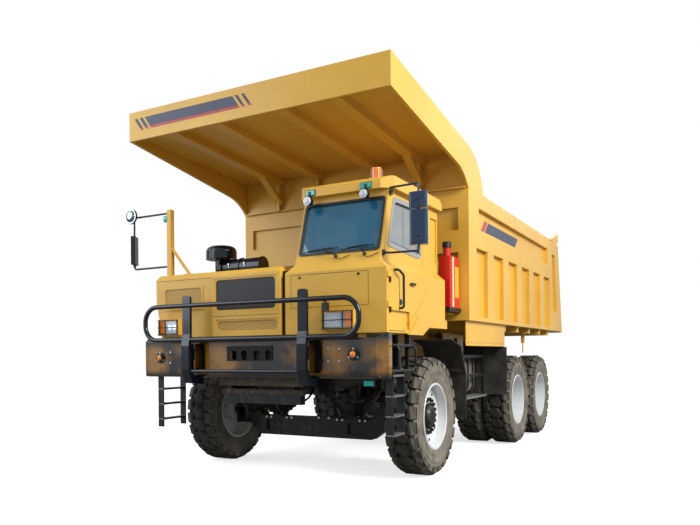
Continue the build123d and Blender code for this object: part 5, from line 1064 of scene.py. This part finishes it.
def make_cab_trim():
    """Window seals, wipers, marker lamps, beacon, panel seams, door handle and the seal beside the hood."""
    dark, grey, teal, orange, wire, clear, seams = (bmesh.new() for _ in range(7))
    rounded_frame(dark, SCREEN, on_screen, outer=(-0.014, 0.05), inner=(0.012, 0.04), low=0.0005, high=0.009)
    make_wipers(dark)
    rounded_frame(grey, WINDOW, on_side, outer=(-0.03, 0.06), inner=(0.026, 0.045), low=0.0005, high=0.007)
    rounded_frame(dark, WINDOW, on_side, outer=(0.024, 0.045), inner=(0.036, 0.04), low=-0.022, high=0.003)
    slab(dark, *WINDOW_SASH)
    for x0, x1 in VISOR_MARKERS:
        slab(teal, (x0, MARKER_Y[0], MARKER_LOW), (x1, MARKER_Y[1], MARKER_TOP))
        slab(dark, (x0 - MARKER_FRAME, MARKER_FRAME_Y[0], MARKER_LOW - MARKER_FRAME),
             (x1 + MARKER_FRAME, MARKER_FRAME_Y[1], MARKER_TOP + MARKER_FRAME))
    for x in VISOR_LAMPS_X:
        bar(wire, (x, VISOR_LAMPS_Y, VISOR_LAMPS_Z), (x, VISOR_LAMPS_Y + 0.0075, VISOR_LAMPS_Z),
            radius=0.05, sides=28)
        dome(clear, (x, VISOR_LAMPS_Y + 0.0005, VISOR_LAMPS_Z), radius=0.042, squash=(1, 0.22, 1))
    make_beacon(orange, wire)
    ring_plate(seams, inset(PANEL, -SEAM_HALF), inset(PANEL, SEAM_HALF), on_front, low=-0.001, high=0.0006)
    slab(seams, *HOOD_SEAL)
    for x, z in PANEL_LATCHES:
        bar(dark, on_front(x, z, 0.0), on_front(x, z, 0.006), radius=0.016, sides=20)
    bar(dark, (DOOR_X, *DOOR_LOCK), (DOOR_X + 0.006, *DOOR_LOCK), radius=0.034, sides=28)
    bar(dark, (DOOR_X, *DOOR_HANDLE), (DOOR_X + 0.0215, *DOOR_HANDLE), radius=0.012, sides=12)
    slab(dark, *HANDLE_PLATE)
    finish_piece("cab_black_trim", dark, "chassis", "plastic", smooth=True)
    finish_piece("cab_seams", seams, "chassis", "seal")
    finish_piece("visor_marker_lenses", teal, "chassis", "teal_lens", bevel=0.004)
    finish_piece("visor_lamp_lenses", clear, "chassis", "clear_lens", smooth=True)
    finish_piece("beacon_lens", orange, "chassis", "orange_lens", smooth=True)
    finish_piece("beacon_cage", wire, "chassis", "bright", smooth=True)
    finish_piece("door_window_frame", grey, "cab_door", "frame_grey", bevel=0.002)


# Hood, grilles and headlamps

HOOD_SEAMS = (
    # (x, z) from, (x, z) to, y of the face
    ((-0.655, 1.79), (-0.655, 2.54), -1.5),
    ((-1.56, 2.52), (-0.66, 2.52), -1.5),
    ((-0.64, 2.03), (0.35, 2.03), -1.52),
)
HEADLAMPS = (
    # outboard end, inboard end across, lower z, upper z
    (1.352, 0.949, 1.82, 2.04),
    (-1.5, -1.156, 1.805, 2.014),
)
# Lenses stand between these two y; the distances after them are inwards from the lamp's ends.
LENS_Y = (-1.572, -1.5552)
LENS_EDGE = 0.03
BULB_Y = (-1.5722, -1.5745)
INDICATOR_END = 0.105
HEADLAMP_START = 0.16
INDICATOR_GAP = 0.004
UPRIGHTS = (0.02, 0.13)
UPRIGHT_Y = -1.583
CROSS_WIRE_Y = -1.59
WIRE_INSET = 0.012
WIRE_END = 0.004
SCREW_Y = -1.576
SCREW_END = 0.009


def flat_lens(bm, x0, x1, low, high):
    """A flat lens between two places across and two heights."""
    slab(bm, (min(x0, x1), LENS_Y[0], low), (max(x0, x1), LENS_Y[1], high))


def make_hood_trim(sizes):
    """Seams of the hood, the lamps' lenses and bulbs, and the wire guards before them."""
    dark, clear, orange, wire, chrome = (bmesh.new() for _ in range(5))
    for (x0, z0), (x1, z1), y in HOOD_SEAMS:
        slab(dark, (x0 - SEAM_HALF, y - 0.0008, z0 - SEAM_HALF), (x1 + SEAM_HALF, y + 0.001, z1 + SEAM_HALF))
    screws = []
    for out, inner, low, high in HEADLAMPS:
        side = 1 if inner > out else -1
        centre_z = (low + high) / 2
        amber = (out + side * LENS_EDGE, out + side * INDICATOR_END)
        flat_lens(orange, *amber, low + LENS_EDGE, centre_z - INDICATOR_GAP)
        flat_lens(orange, *amber, centre_z + INDICATOR_GAP, high - LENS_EDGE)
        x0, x1 = sorted((out + side * HEADLAMP_START, inner - side * LENS_EDGE))
        flat_lens(clear, x0, x1, low + LENS_EDGE, high - LENS_EDGE)
        for share in (0.25, 0.75):
            x = x0 + (x1 - x0) * share
            bar(chrome, (x, BULB_Y[0], centre_z), (x, BULB_Y[1], centre_z), radius=0.036, sides=24)
        for x in (*(out + side * inwards for inwards in UPRIGHTS), inner - side * UPRIGHTS[0]):
            bar(wire, (x, UPRIGHT_Y, low + 0.005), (x, UPRIGHT_Y, high - 0.005), radius=0.007)
        wires = (low + WIRE_INSET, centre_z, high - WIRE_INSET)
        for z in wires:
            bar(wire, (out + side * WIRE_END, CROSS_WIRE_Y, z), (inner - side * WIRE_END, CROSS_WIRE_Y, z),
                radius=0.005)
        screws += [((x, SCREW_Y, z), FORWARDS) for x in (out + side * SCREW_END, inner - side * SCREW_END)
                   for z in (wires[0], wires[-1])]
    fasteners("lamp_guard_bolts", "chassis", screws, sizes.screw, height=0.006, finish="bright")
    finish_piece("hood_seams", dark, "chassis", "seal")
    finish_piece("headlamp_lenses", clear, "chassis", "clear_lens", bevel=0.004)
    finish_piece("indicator_lenses", orange, "chassis", "orange_lens", bevel=0.004)
    finish_piece("headlamp_guards", wire, "chassis", "guard", smooth=True)
    finish_piece("headlamp_reflectors", chrome, "chassis", "chrome", smooth=True)


# Bumper, guard and what hangs below

BUMPER_BOLTS = ((1.025, 1.609), (1.164, 1.607), (1.025, 1.47), (1.163, 1.469), (-1.3, 1.59), (-1.301, 1.452))
BUMPER_BOLT_SHARE = 0.8
END_LAMPS = ((1.348, 1.543), (-1.467, 1.517))
END_LAMP_RING = 0.061
BUMPER_BOLTS_Y = -1.564
END_LAMPS_Y = -1.599
END_RING_Y = -1.577
GUARD_PIN_Y = -1.69
GUARD_PINS = ((-0.89, 1.52), (-0.89, 1.61), (0.79, 1.52), (0.79, 1.61))
HOOD_CATCH = ((1.02, -1.7, 2.03), (1.09, -1.65, 2.12))
CATCH_PULL = ((1.055, -1.66, 2.12), (1.055, -1.69, 2.14), (1.055, -1.725, 2.135))
FRONT_HOSES = (
    # x, height, sag
    (-0.5, 1.0, 0.1),
    (-0.34, 0.96, 0.14),
    (-0.18, 1.0, 0.08),
    (0.12, 0.98, 0.12),
    (0.3, 1.01, 0.06),
)
HOSE_RUN = (
    # across from the hose's x, y, share of its sag, rise above its height
    (0, -1.3, 0, 0.06),
    (0.02, -1.2, 1, 0),
    (0.06, -0.9, 0.4, 0),
    (0.02, -0.6, 0, 0.14),
)
# A thin black sheet just behind the bumper: painted shade seen through its slots.
SLOT_SHADE_SHEET = ((-1.4, -1.402, 1.29), (1.0, -1.399, 1.76))
STEP_LAMP = ((1.41, -1.45, 1.19), (1.53, -1.435, 1.245))
STEP_LAMP_BACK = ((1.4, -1.436, 1.18), (1.54, -1.42, 1.3))
# The front springs' clamps stand at these distances across and along, from below the beam to its top.
CLAMPS_X = (0.545, 0.665)
CLAMPS_Y = (-0.07, 0.07)
CLAMPS_Z = (0.7, 0.87)
BEAM_STUDS_X = (0.36, 0.44, 0.7, 0.78)
BEAM_STUDS_AT = (-0.105, 0.66)
STUDS = ((0.075, 0.676), (0.23, 0.677))
STUDS_Y = -0.103


def make_spring_clamps(bm):
    """The clamps that hold the front springs on the beam; gives the places of all the beam's bolts."""
    places = []
    low, top = CLAMPS_Z
    for side in (-1, 1):
        for y in CLAMPS_Y:
            for x in CLAMPS_X:
                places.append(((side * x, y, low + 0.012), (0, 0, 1)))
                bar(bm, (side * x, y, low), (side * x, y, top), radius=0.011, sides=8)
            near, far = CLAMPS_X
            bar(bm, (side * near, y, top - 0.004), (side * far, y, top - 0.004), radius=0.011, sides=8)
        places += [((side * x, *BEAM_STUDS_AT), FORWARDS) for x in BEAM_STUDS_X]
    return places + [((x, STUDS_Y, z), FORWARDS) for x, z in STUDS]


def make_front_trim(sizes):
    """Bolts and lamps of the bumper, the guard's pins, and hoses and clamps below."""
    orange, dark, black, teal = (bmesh.new() for _ in range(4))
    bolts = [((x, BUMPER_BOLTS_Y, z), FORWARDS) for x, z in BUMPER_BOLTS]
    for x, z in END_LAMPS:
        dome(orange, (x, END_LAMPS_Y, z), radius=0.036, squash=(1, 0.4, 1), sides=24)
        for turn in turns(3, math.radians(90)):
            at = (x + END_LAMP_RING * math.cos(turn), END_RING_Y, z + END_LAMP_RING * math.sin(turn))
            bolts.append((at, FORWARDS))
    fasteners("bumper_bolts", "chassis", bolts, sizes.bolt * BUMPER_BOLT_SHARE, height=0.01, finish="bright")
    for x, z in GUARD_PINS:
        bar(dark, (x - 0.075, GUARD_PIN_Y, z), (x - 0.05, GUARD_PIN_Y, z), radius=0.014, sides=6)
    slab(black, *HOOD_CATCH)
    pipe(black, CATCH_PULL, radius=0.008)
    for x, z, sag in FRONT_HOSES:
        pipe(black, [(x + across, y, z - sag * share + rise) for across, y, share, rise in HOSE_RUN],
             radius=0.014)
    # Black sheet of painted shade behind the bumper's slots.
    slab(black, *SLOT_SHADE_SHEET)
    slab(teal, *STEP_LAMP)
    slab(black, *STEP_LAMP_BACK)
    fasteners("axle_bolts", "chassis", make_spring_clamps(dark), sizes.bolt, height=0.014, finish="bright")
    finish_piece("end_lamp_lenses", orange, "chassis", "orange_lens", smooth=True)
    finish_piece("guard_and_clamp_pins", dark, "chassis", "nut", smooth=True)
    finish_piece("front_hoses", black, "chassis", "plastic", smooth=True)
    finish_piece("step_lamp_lens", teal, "chassis", "teal_lens", bevel=0.004)


# Mirrors and air cleaner

ROUND_MIRROR = (-2.16, -1.38, 3.47)
MIRRORS = (
    # middle across, lower z, upper z
    (2.035, 3.115, 3.295),
    (2.04, 2.72, 3.1),
)
MIRROR_EDGE = 0.014
MIRROR_HALF = 0.083
MIRROR_Y = (-1.3097, -1.3085)
CLAMP_AT = (-2.2, -1.27)
BOSS_HALF = 0.045
BOSS_Y = -1.401
MIRROR_CLAMPS = (2.8, 3.2)
LATCHES_X = (-0.95, -0.69)
AIR_CLEANER_Y = -0.64
LATCH_TOP = 2.79


def make_mirror_trim():
    """Rims and faces of the mirrors, the bosses and clamps of their arms, and the air cleaner's latches."""
    rim, face, dark, bright = (bmesh.new() for _ in range(4))
    x, y, z = ROUND_MIRROR
    bar(dark, (x, y + 0.02, z), (x, y - 0.004, z), radius=0.103, sides=36)
    bar(rim, (x, y, z), (x, y - 0.012, z), radius=0.098, sides=36)
    dome(face, (x, y - 0.011, z), radius=0.084, squash=(1, 0.35, 1), sides=32)
    for x, low, high in MIRRORS:
        slab(face, (x - MIRROR_HALF, MIRROR_Y[0], low + MIRROR_EDGE),
             (x + MIRROR_HALF, MIRROR_Y[1], high - MIRROR_EDGE))
        foot = low + 0.012
        boss = ((-BOSS_HALF, 0), (-0.04, 0.06), (0, 0.085), (0.04, 0.06), (BOSS_HALF, 0))
        pipe(dark, [(x + across, BOSS_Y, foot + up) for across, up in boss], radius=0.004)
    for z in MIRROR_CLAMPS:
        bar(dark, (*CLAMP_AT, z - 0.02), (*CLAMP_AT, z + 0.02), radius=0.019)
    y = AIR_CLEANER_Y
    for x in LATCHES_X:
        bar(bright, (x, y - 0.126, LATCH_TOP), (x, y - 0.135, LATCH_TOP), radius=0.013, sides=12)
        slab(bright, (x - 0.005, y - 0.129, LATCH_TOP - 0.05), (x + 0.005, y - 0.1225, LATCH_TOP))
    finish_piece("mirror_rims", rim, "chassis", "chrome", smooth=True)
    finish_piece("mirror_faces", face, "chassis", "mirror", smooth=True)
    finish_piece("mirror_clamps", dark, "chassis", "plastic", smooth=True)
    finish_piece("air_cleaner_latches", bright, "chassis", "bright", smooth=True)


# Ladders, guards and tanks

LADDERS = (
    # side, outer x, front y, rear y, treads' z
    (1, 1.745, -1.396, -1.075, (0.64, 0.85, 1.073, 1.3)),
    (-1, 1.672, -1.392, -0.932, (0.7, 0.9, 1.1, 1.31)),
)
RIVETS_INWARDS = (0.012, 0.036, 0.059, 0.083)
TREAD_MARGIN = 0.014
TREAD_PLATES = (
    # inwards from the ladder's outer face, up from the tread's middle: of its top and of its outer edge
    ((0.093, 0.002), (0.0122, 0.0142)),
    ((0.004, 0), (-0.011, 0.011)),
)
LEFT_STEPS = (
    # lower corner, upper corner of the plates on the two steps above the left ladder
    ((1.565, -1.385, 1.6505), (1.735, -0.78, 1.6525)),
    ((1.605, -1.385, 1.3605), (1.735, -0.78, 1.3625)),
)
PLANK_Y = (1.244, 2.696)
PLANK_PLATES = (
    # from and to across, y and z: of the plank's top and of its outer edge
    ((1.402, 1.598), PLANK_Y, (0.8952, 0.8975)),
    ((1.6, 1.602), PLANK_Y, (0.862, 0.893)),
)
TANK_BAND = ((1.7502, 0.6, 2.17), (1.7525, 0.655, 2.84))
LABELS = (((1.7502, 0.7, 2.3), (1.7515, 0.86, 2.72)), ((1.4005, 2.11, 1.31), (1.4015, 2.2, 1.4)))
LOOP_X = 1.55
STEP_LOOP = (
    # y, z
    (2.7, 0.86), (2.83, 0.85), (2.86, 0.76), (2.8, 0.7), (2.72, 0.74), (2.69, 0.86),
)


def make_side_trim(sizes):
    """Tread plates and rivets of the steps, loops below the planks, and the tanks' band and blank labels."""
    bright, cream, yellow, dark = (bmesh.new() for _ in range(4))
    rivets = []
    for side, x, front, rear, treads in LADDERS:
        across_y = (front + TREAD_MARGIN, rear - TREAD_MARGIN)
        for z in treads:
            for inwards, up in TREAD_PLATES:
                side_slab(bright, side, [x - d for d in inwards], across_y, [z + d for d in up])
            rivets += [((side * (x - inwards), front - 0.001, z), FORWARDS) for inwards in RIVETS_INWARDS]
    for corners in LEFT_STEPS:
        slab(bright, *corners)
    for side in (1, -1):
        for places in PLANK_PLATES:
            side_slab(bright, side, *places)
        pipe(dark, [(side * LOOP_X, y, z) for y, z in STEP_LOOP], radius=0.01)
    slab(cream, *TANK_BAND)
    for corners in LABELS:
        slab(yellow, *corners)
    fasteners("ladder_rivets", "chassis", rivets, sizes.rivet, height=0.006, finish="bright", sides=10)
    finish_piece("tread_plates", bright, "chassis", "bright", bevel=0.001)
    finish_piece("tank_band", cream, "chassis", "cream")
    finish_piece("blank_labels", yellow, "chassis", "label")
    finish_piece("step_loops", dark, "chassis", "plastic", smooth=True)


# Bed trim

HOOKS_Y = [1.75 + 0.86 * k for k in range(6)]
HOOK = (
    # distance from the truck's middle, z
    (1.866, 3.74), (1.866, 3.8), (1.85, 3.845), (1.83, 3.835),
)
SKIRT_X = 1.8155
SKIRT_CORNER = (1.06, 1.7)
SKIRT_BOLTS = ([(SKIRT_CORNER[0] + 0.15 * k, SKIRT_CORNER[1]) for k in range(13)]
               + [(SKIRT_CORNER[0], SKIRT_CORNER[1] + 0.06 * k) for k in range(5)])
PROP_X = 1.6
PROP_Y = 5.1
PROP_FOOT = 1.55
PROP_TOP = 1.93
PROP_PLATE = ((1.57, 1.63), (5.075, 5.125), (1.74, 1.93))


def make_bed_trim(sizes):
    """Hooks along the body's upper edges, bolts of its skirts, and its prop rods."""
    dark = bmesh.new()
    bolts = []
    for side in (1, -1):
        for y in HOOKS_Y:
            pipe(dark, [(side * x, y, z) for x, z in HOOK], radius=0.008)
        bolts += [((side * SKIRT_X, y, z), (side, 0, 0)) for y, z in SKIRT_BOLTS]
        bar(dark, (side * PROP_X, PROP_Y, PROP_FOOT), (side * PROP_X, PROP_Y, PROP_TOP), radius=0.011)
        side_slab(dark, side, *PROP_PLATE)
    fasteners("skirt_bolts", "bed", bolts, sizes.skirt_bolt, height=0.01, finish="bright")
    finish_piece("body_hooks", dark, "bed", "body", smooth=True)


# Stage

CAMERA_PLACE = Vector((4.8424, -8.5719, 1.5403))
CAMERA_SHIFT = (0.0697, 0.1321)
LAMPS = (
    # name, share of the key's or the fill's power, place, size, colour
    ("key softbox", "key", 1.0, (13, -5.5, 9.5), 6, "#fffbf4"),
    ("fill softbox", "fill", 1.0, (-7, -10, 6), 8, "#eef4ff"),
    ("rear softbox", "fill", 0.7, (2, 12, 9), 8, "#ffffff"),
)
LAMPS_AIM = Vector((0, 0, 1.8))
FLOOR_RADIUS = 60


def make_camera(sizes):
    """The camera that stands where the photographer stood."""
    view = bpy.data.cameras.new("view")
    view.lens = sizes.lens
    view.sensor_width = 36.0
    view.shift_x, view.shift_y = CAMERA_SHIFT
    view.clip_end = 400
    holder = new_object("view", view)
    a, r = sizes.azimuth, sizes.roll
    ahead = Vector((-math.sin(a), math.cos(a), 0))
    right = Vector((math.cos(a), math.sin(a), 0)) * math.cos(r) + Vector((0, 0, 1)) * math.sin(r)
    up = right.cross(ahead)
    turn = Matrix((right, up, -ahead)).transposed().to_4x4()
    turn.translation = CAMERA_PLACE + TO_FRAME
    holder.matrix_world = turn
    bpy.context.scene.camera = holder


def make_lamps(sizes):
    """The soft round lamps around the truck."""
    for name, power, share, place, size, colour in LAMPS:
        lamp = bpy.data.lights.new(name, "AREA")
        lamp.energy = getattr(sizes, power) * share
        lamp.shape = "DISK"
        lamp.size = size
        lamp.color = linear(colour)[:3]
        holder = new_object(name, lamp)
        holder.location = place
        holder.rotation_euler = (LAMPS_AIM - Vector(place)).to_track_quat("-Z", "Y").to_euler()


def make_world():
    """A world that the camera sees as white, and that lights the truck with a softer, cooler white."""
    world = bpy.data.worlds.new("plain studio")
    bpy.context.scene.world = world
    tree = bare_tree(world)
    rays = add(tree, "ShaderNodeLightPath").outputs
    seen = maths(tree, "MAXIMUM", rays["Is Camera Ray"], rays["Is Transmission Ray"])
    soft = add(tree, "ShaderNodeBackground", {"Color": linear("#eef3f8"), "Strength": 0.74}).outputs[0]
    white = add(tree, "ShaderNodeBackground", {"Color": (1, 1, 1, 1), "Strength": 1.0}).outputs[0]
    both = add(tree, "ShaderNodeMixShader", {0: seen, 1: soft, 2: white}).outputs[0]
    add(tree, "ShaderNodeOutputWorld", {"Surface": both})


def make_floor():
    """A pale floor that the camera sees lifted to white, while it throws little light at the truck."""
    mesh = bpy.data.meshes.new("floor")
    bm = bmesh.new()
    bmesh.ops.create_circle(bm, cap_ends=True, segments=96, radius=FLOOR_RADIUS)
    bm.to_mesh(mesh)
    bm.free()
    floor = new_object("floor", mesh)
    floor.location = (0, 0, -0.001)
    made = bpy.data.materials.new("pale studio floor")
    tree = bare_tree(made)
    seen = add(tree, "ShaderNodeLightPath").outputs["Is Camera Ray"]
    matt = add(tree, "ShaderNodeBsdfDiffuse", {"Color": linear("#dcdcda")}).outputs[0]
    dim = add(tree, "ShaderNodeBsdfDiffuse", {"Color": linear("#8a8985")}).outputs[0]
    lit = add(tree, "ShaderNodeEmission", {"Color": (1, 1, 1, 1), "Strength": 0.7}).outputs[0]
    lifted = add(tree, "ShaderNodeAddShader", {0: matt, 1: lit}).outputs[0]
    both = add(tree, "ShaderNodeMixShader", {0: seen, 1: dim, 2: lifted}).outputs[0]
    add(tree, "ShaderNodeOutputMaterial", {"Surface": both})
    mesh.materials.append(made)


def make_stage(sizes):
    """The camera, the lamps, the world and the floor."""
    make_camera(sizes)
    make_lamps(sizes)
    make_world()
    make_floor()
    bpy.context.scene.view_settings.view_transform = "Standard"


# Operators


class TruckOperator(bpy.types.Operator):
    """Shared settings of the truck's operators."""
    bl_options = {"REGISTER", "UNDO"}


class TRUCK_OT_finishes(TruckOperator):
    """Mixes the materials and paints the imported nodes"""
    bl_idname = "truck.finishes"
    bl_label = "Paint the packed parts"

    def execute(self, context):
        make_finishes(context.scene.truck_paint)
        paint_nodes()
        return {"FINISHED"}


class TRUCK_OT_tyres(TruckOperator):
    """Makes the tyres with their rock tread"""
    bl_idname = "truck.tyres"
    bl_label = "Tyres and tread"

    def execute(self, context):
        make_tyres(context.scene.truck_tread)
        return {"FINISHED"}


class TRUCK_OT_wheel_trim(TruckOperator):
    """Makes the nuts, hubs and lock rings of the wheels"""
    bl_idname = "truck.wheel_trim"
    bl_label = "Wheel trim"

    def execute(self, context):
        make_wheel_trim(context.scene.truck_trim)
        return {"FINISHED"}


class TRUCK_OT_decals(TruckOperator):
    """Lays plain slanted bands on the canopy and the bed"""
    bl_idname = "truck.decals"
    bl_label = "Decal bands"

    def execute(self, context):
        make_decals()
        return {"FINISHED"}


class TRUCK_OT_cab_trim(TruckOperator):
    """Adds seals, wipers, marker lamps and the beacon to the cab"""
    bl_idname = "truck.cab_trim"
    bl_label = "Cab trim"

    def execute(self, context):
        make_cab_trim()
        return {"FINISHED"}


class TRUCK_OT_hood_trim(TruckOperator):
    """Adds seams, lamp lenses and lamp guards to the hood"""
    bl_idname = "truck.hood_trim"
    bl_label = "Hood trim"

    def execute(self, context):
        make_hood_trim(context.scene.truck_trim)
        return {"FINISHED"}


class TRUCK_OT_front_trim(TruckOperator):
    """Adds bolts, lamps and hoses to the bumper and the axle"""
    bl_idname = "truck.front_trim"
    bl_label = "Front trim"

    def execute(self, context):
        make_front_trim(context.scene.truck_trim)
        return {"FINISHED"}


class TRUCK_OT_mirror_trim(TruckOperator):
    """Adds faces and rims to the mirrors and latches to the air cleaner"""
    bl_idname = "truck.mirror_trim"
    bl_label = "Mirror trim"

    def execute(self, context):
        make_mirror_trim()
        return {"FINISHED"}


class TRUCK_OT_side_trim(TruckOperator):
    """Adds treads, rivets and bands to the ladders and tanks"""
    bl_idname = "truck.side_trim"
    bl_label = "Side trim"

    def execute(self, context):
        make_side_trim(context.scene.truck_trim)
        return {"FINISHED"}


class TRUCK_OT_bed_trim(TruckOperator):
    """Adds hooks and bolts to the bed"""
    bl_idname = "truck.bed_trim"
    bl_label = "Bed trim"

    def execute(self, context):
        make_bed_trim(context.scene.truck_trim)
        return {"FINISHED"}


class TRUCK_OT_stage(TruckOperator):
    """Sets up the camera, the soft lamps and the pale floor"""
    bl_idname = "truck.stage"
    bl_label = "Stage"

    def execute(self, context):
        make_stage(context.scene.truck_stage)
        return {"FINISHED"}


OPERATORS = (
    TRUCK_OT_finishes, TRUCK_OT_tyres, TRUCK_OT_wheel_trim, TRUCK_OT_decals, TRUCK_OT_cab_trim,
    TRUCK_OT_hood_trim, TRUCK_OT_front_trim, TRUCK_OT_mirror_trim, TRUCK_OT_side_trim, TRUCK_OT_bed_trim,
    TRUCK_OT_stage,
)


class TRUCK_PT_panel(bpy.types.Panel):
    """Lists the truck's operators"""
    bl_idname = "TRUCK_PT_panel"
    bl_label = "Truck"
    bl_space_type = "VIEW_3D"
    bl_region_type = "UI"
    bl_category = "Truck"

    def draw(self, context):
        for kind in OPERATORS:
            self.layout.operator(kind.bl_idname)


GROUPS = {"truck_paint": TruckPaintColours, "truck_tread": TruckTreadSizes, "truck_trim": TruckTrimSizes,
          "truck_stage": TruckStageSizes}


def register():
    for kind in (*GROUPS.values(), *OPERATORS, TRUCK_PT_panel):
        bpy.utils.register_class(kind)
    for name, kind in GROUPS.items():
        setattr(bpy.types.Scene, name, bpy.props.PointerProperty(type=kind))


def unregister():
    for name in GROUPS:
        delattr(bpy.types.Scene, name)
    for kind in reversed((*GROUPS.values(), *OPERATORS, TRUCK_PT_panel)):
        bpy.utils.unregister_class(kind)


def main():
    register()
    for kind in OPERATORS:
        family, name = kind.bl_idname.split(".")
        getattr(getattr(bpy.ops, family), name)()


if __name__ == "__main__":
    main()
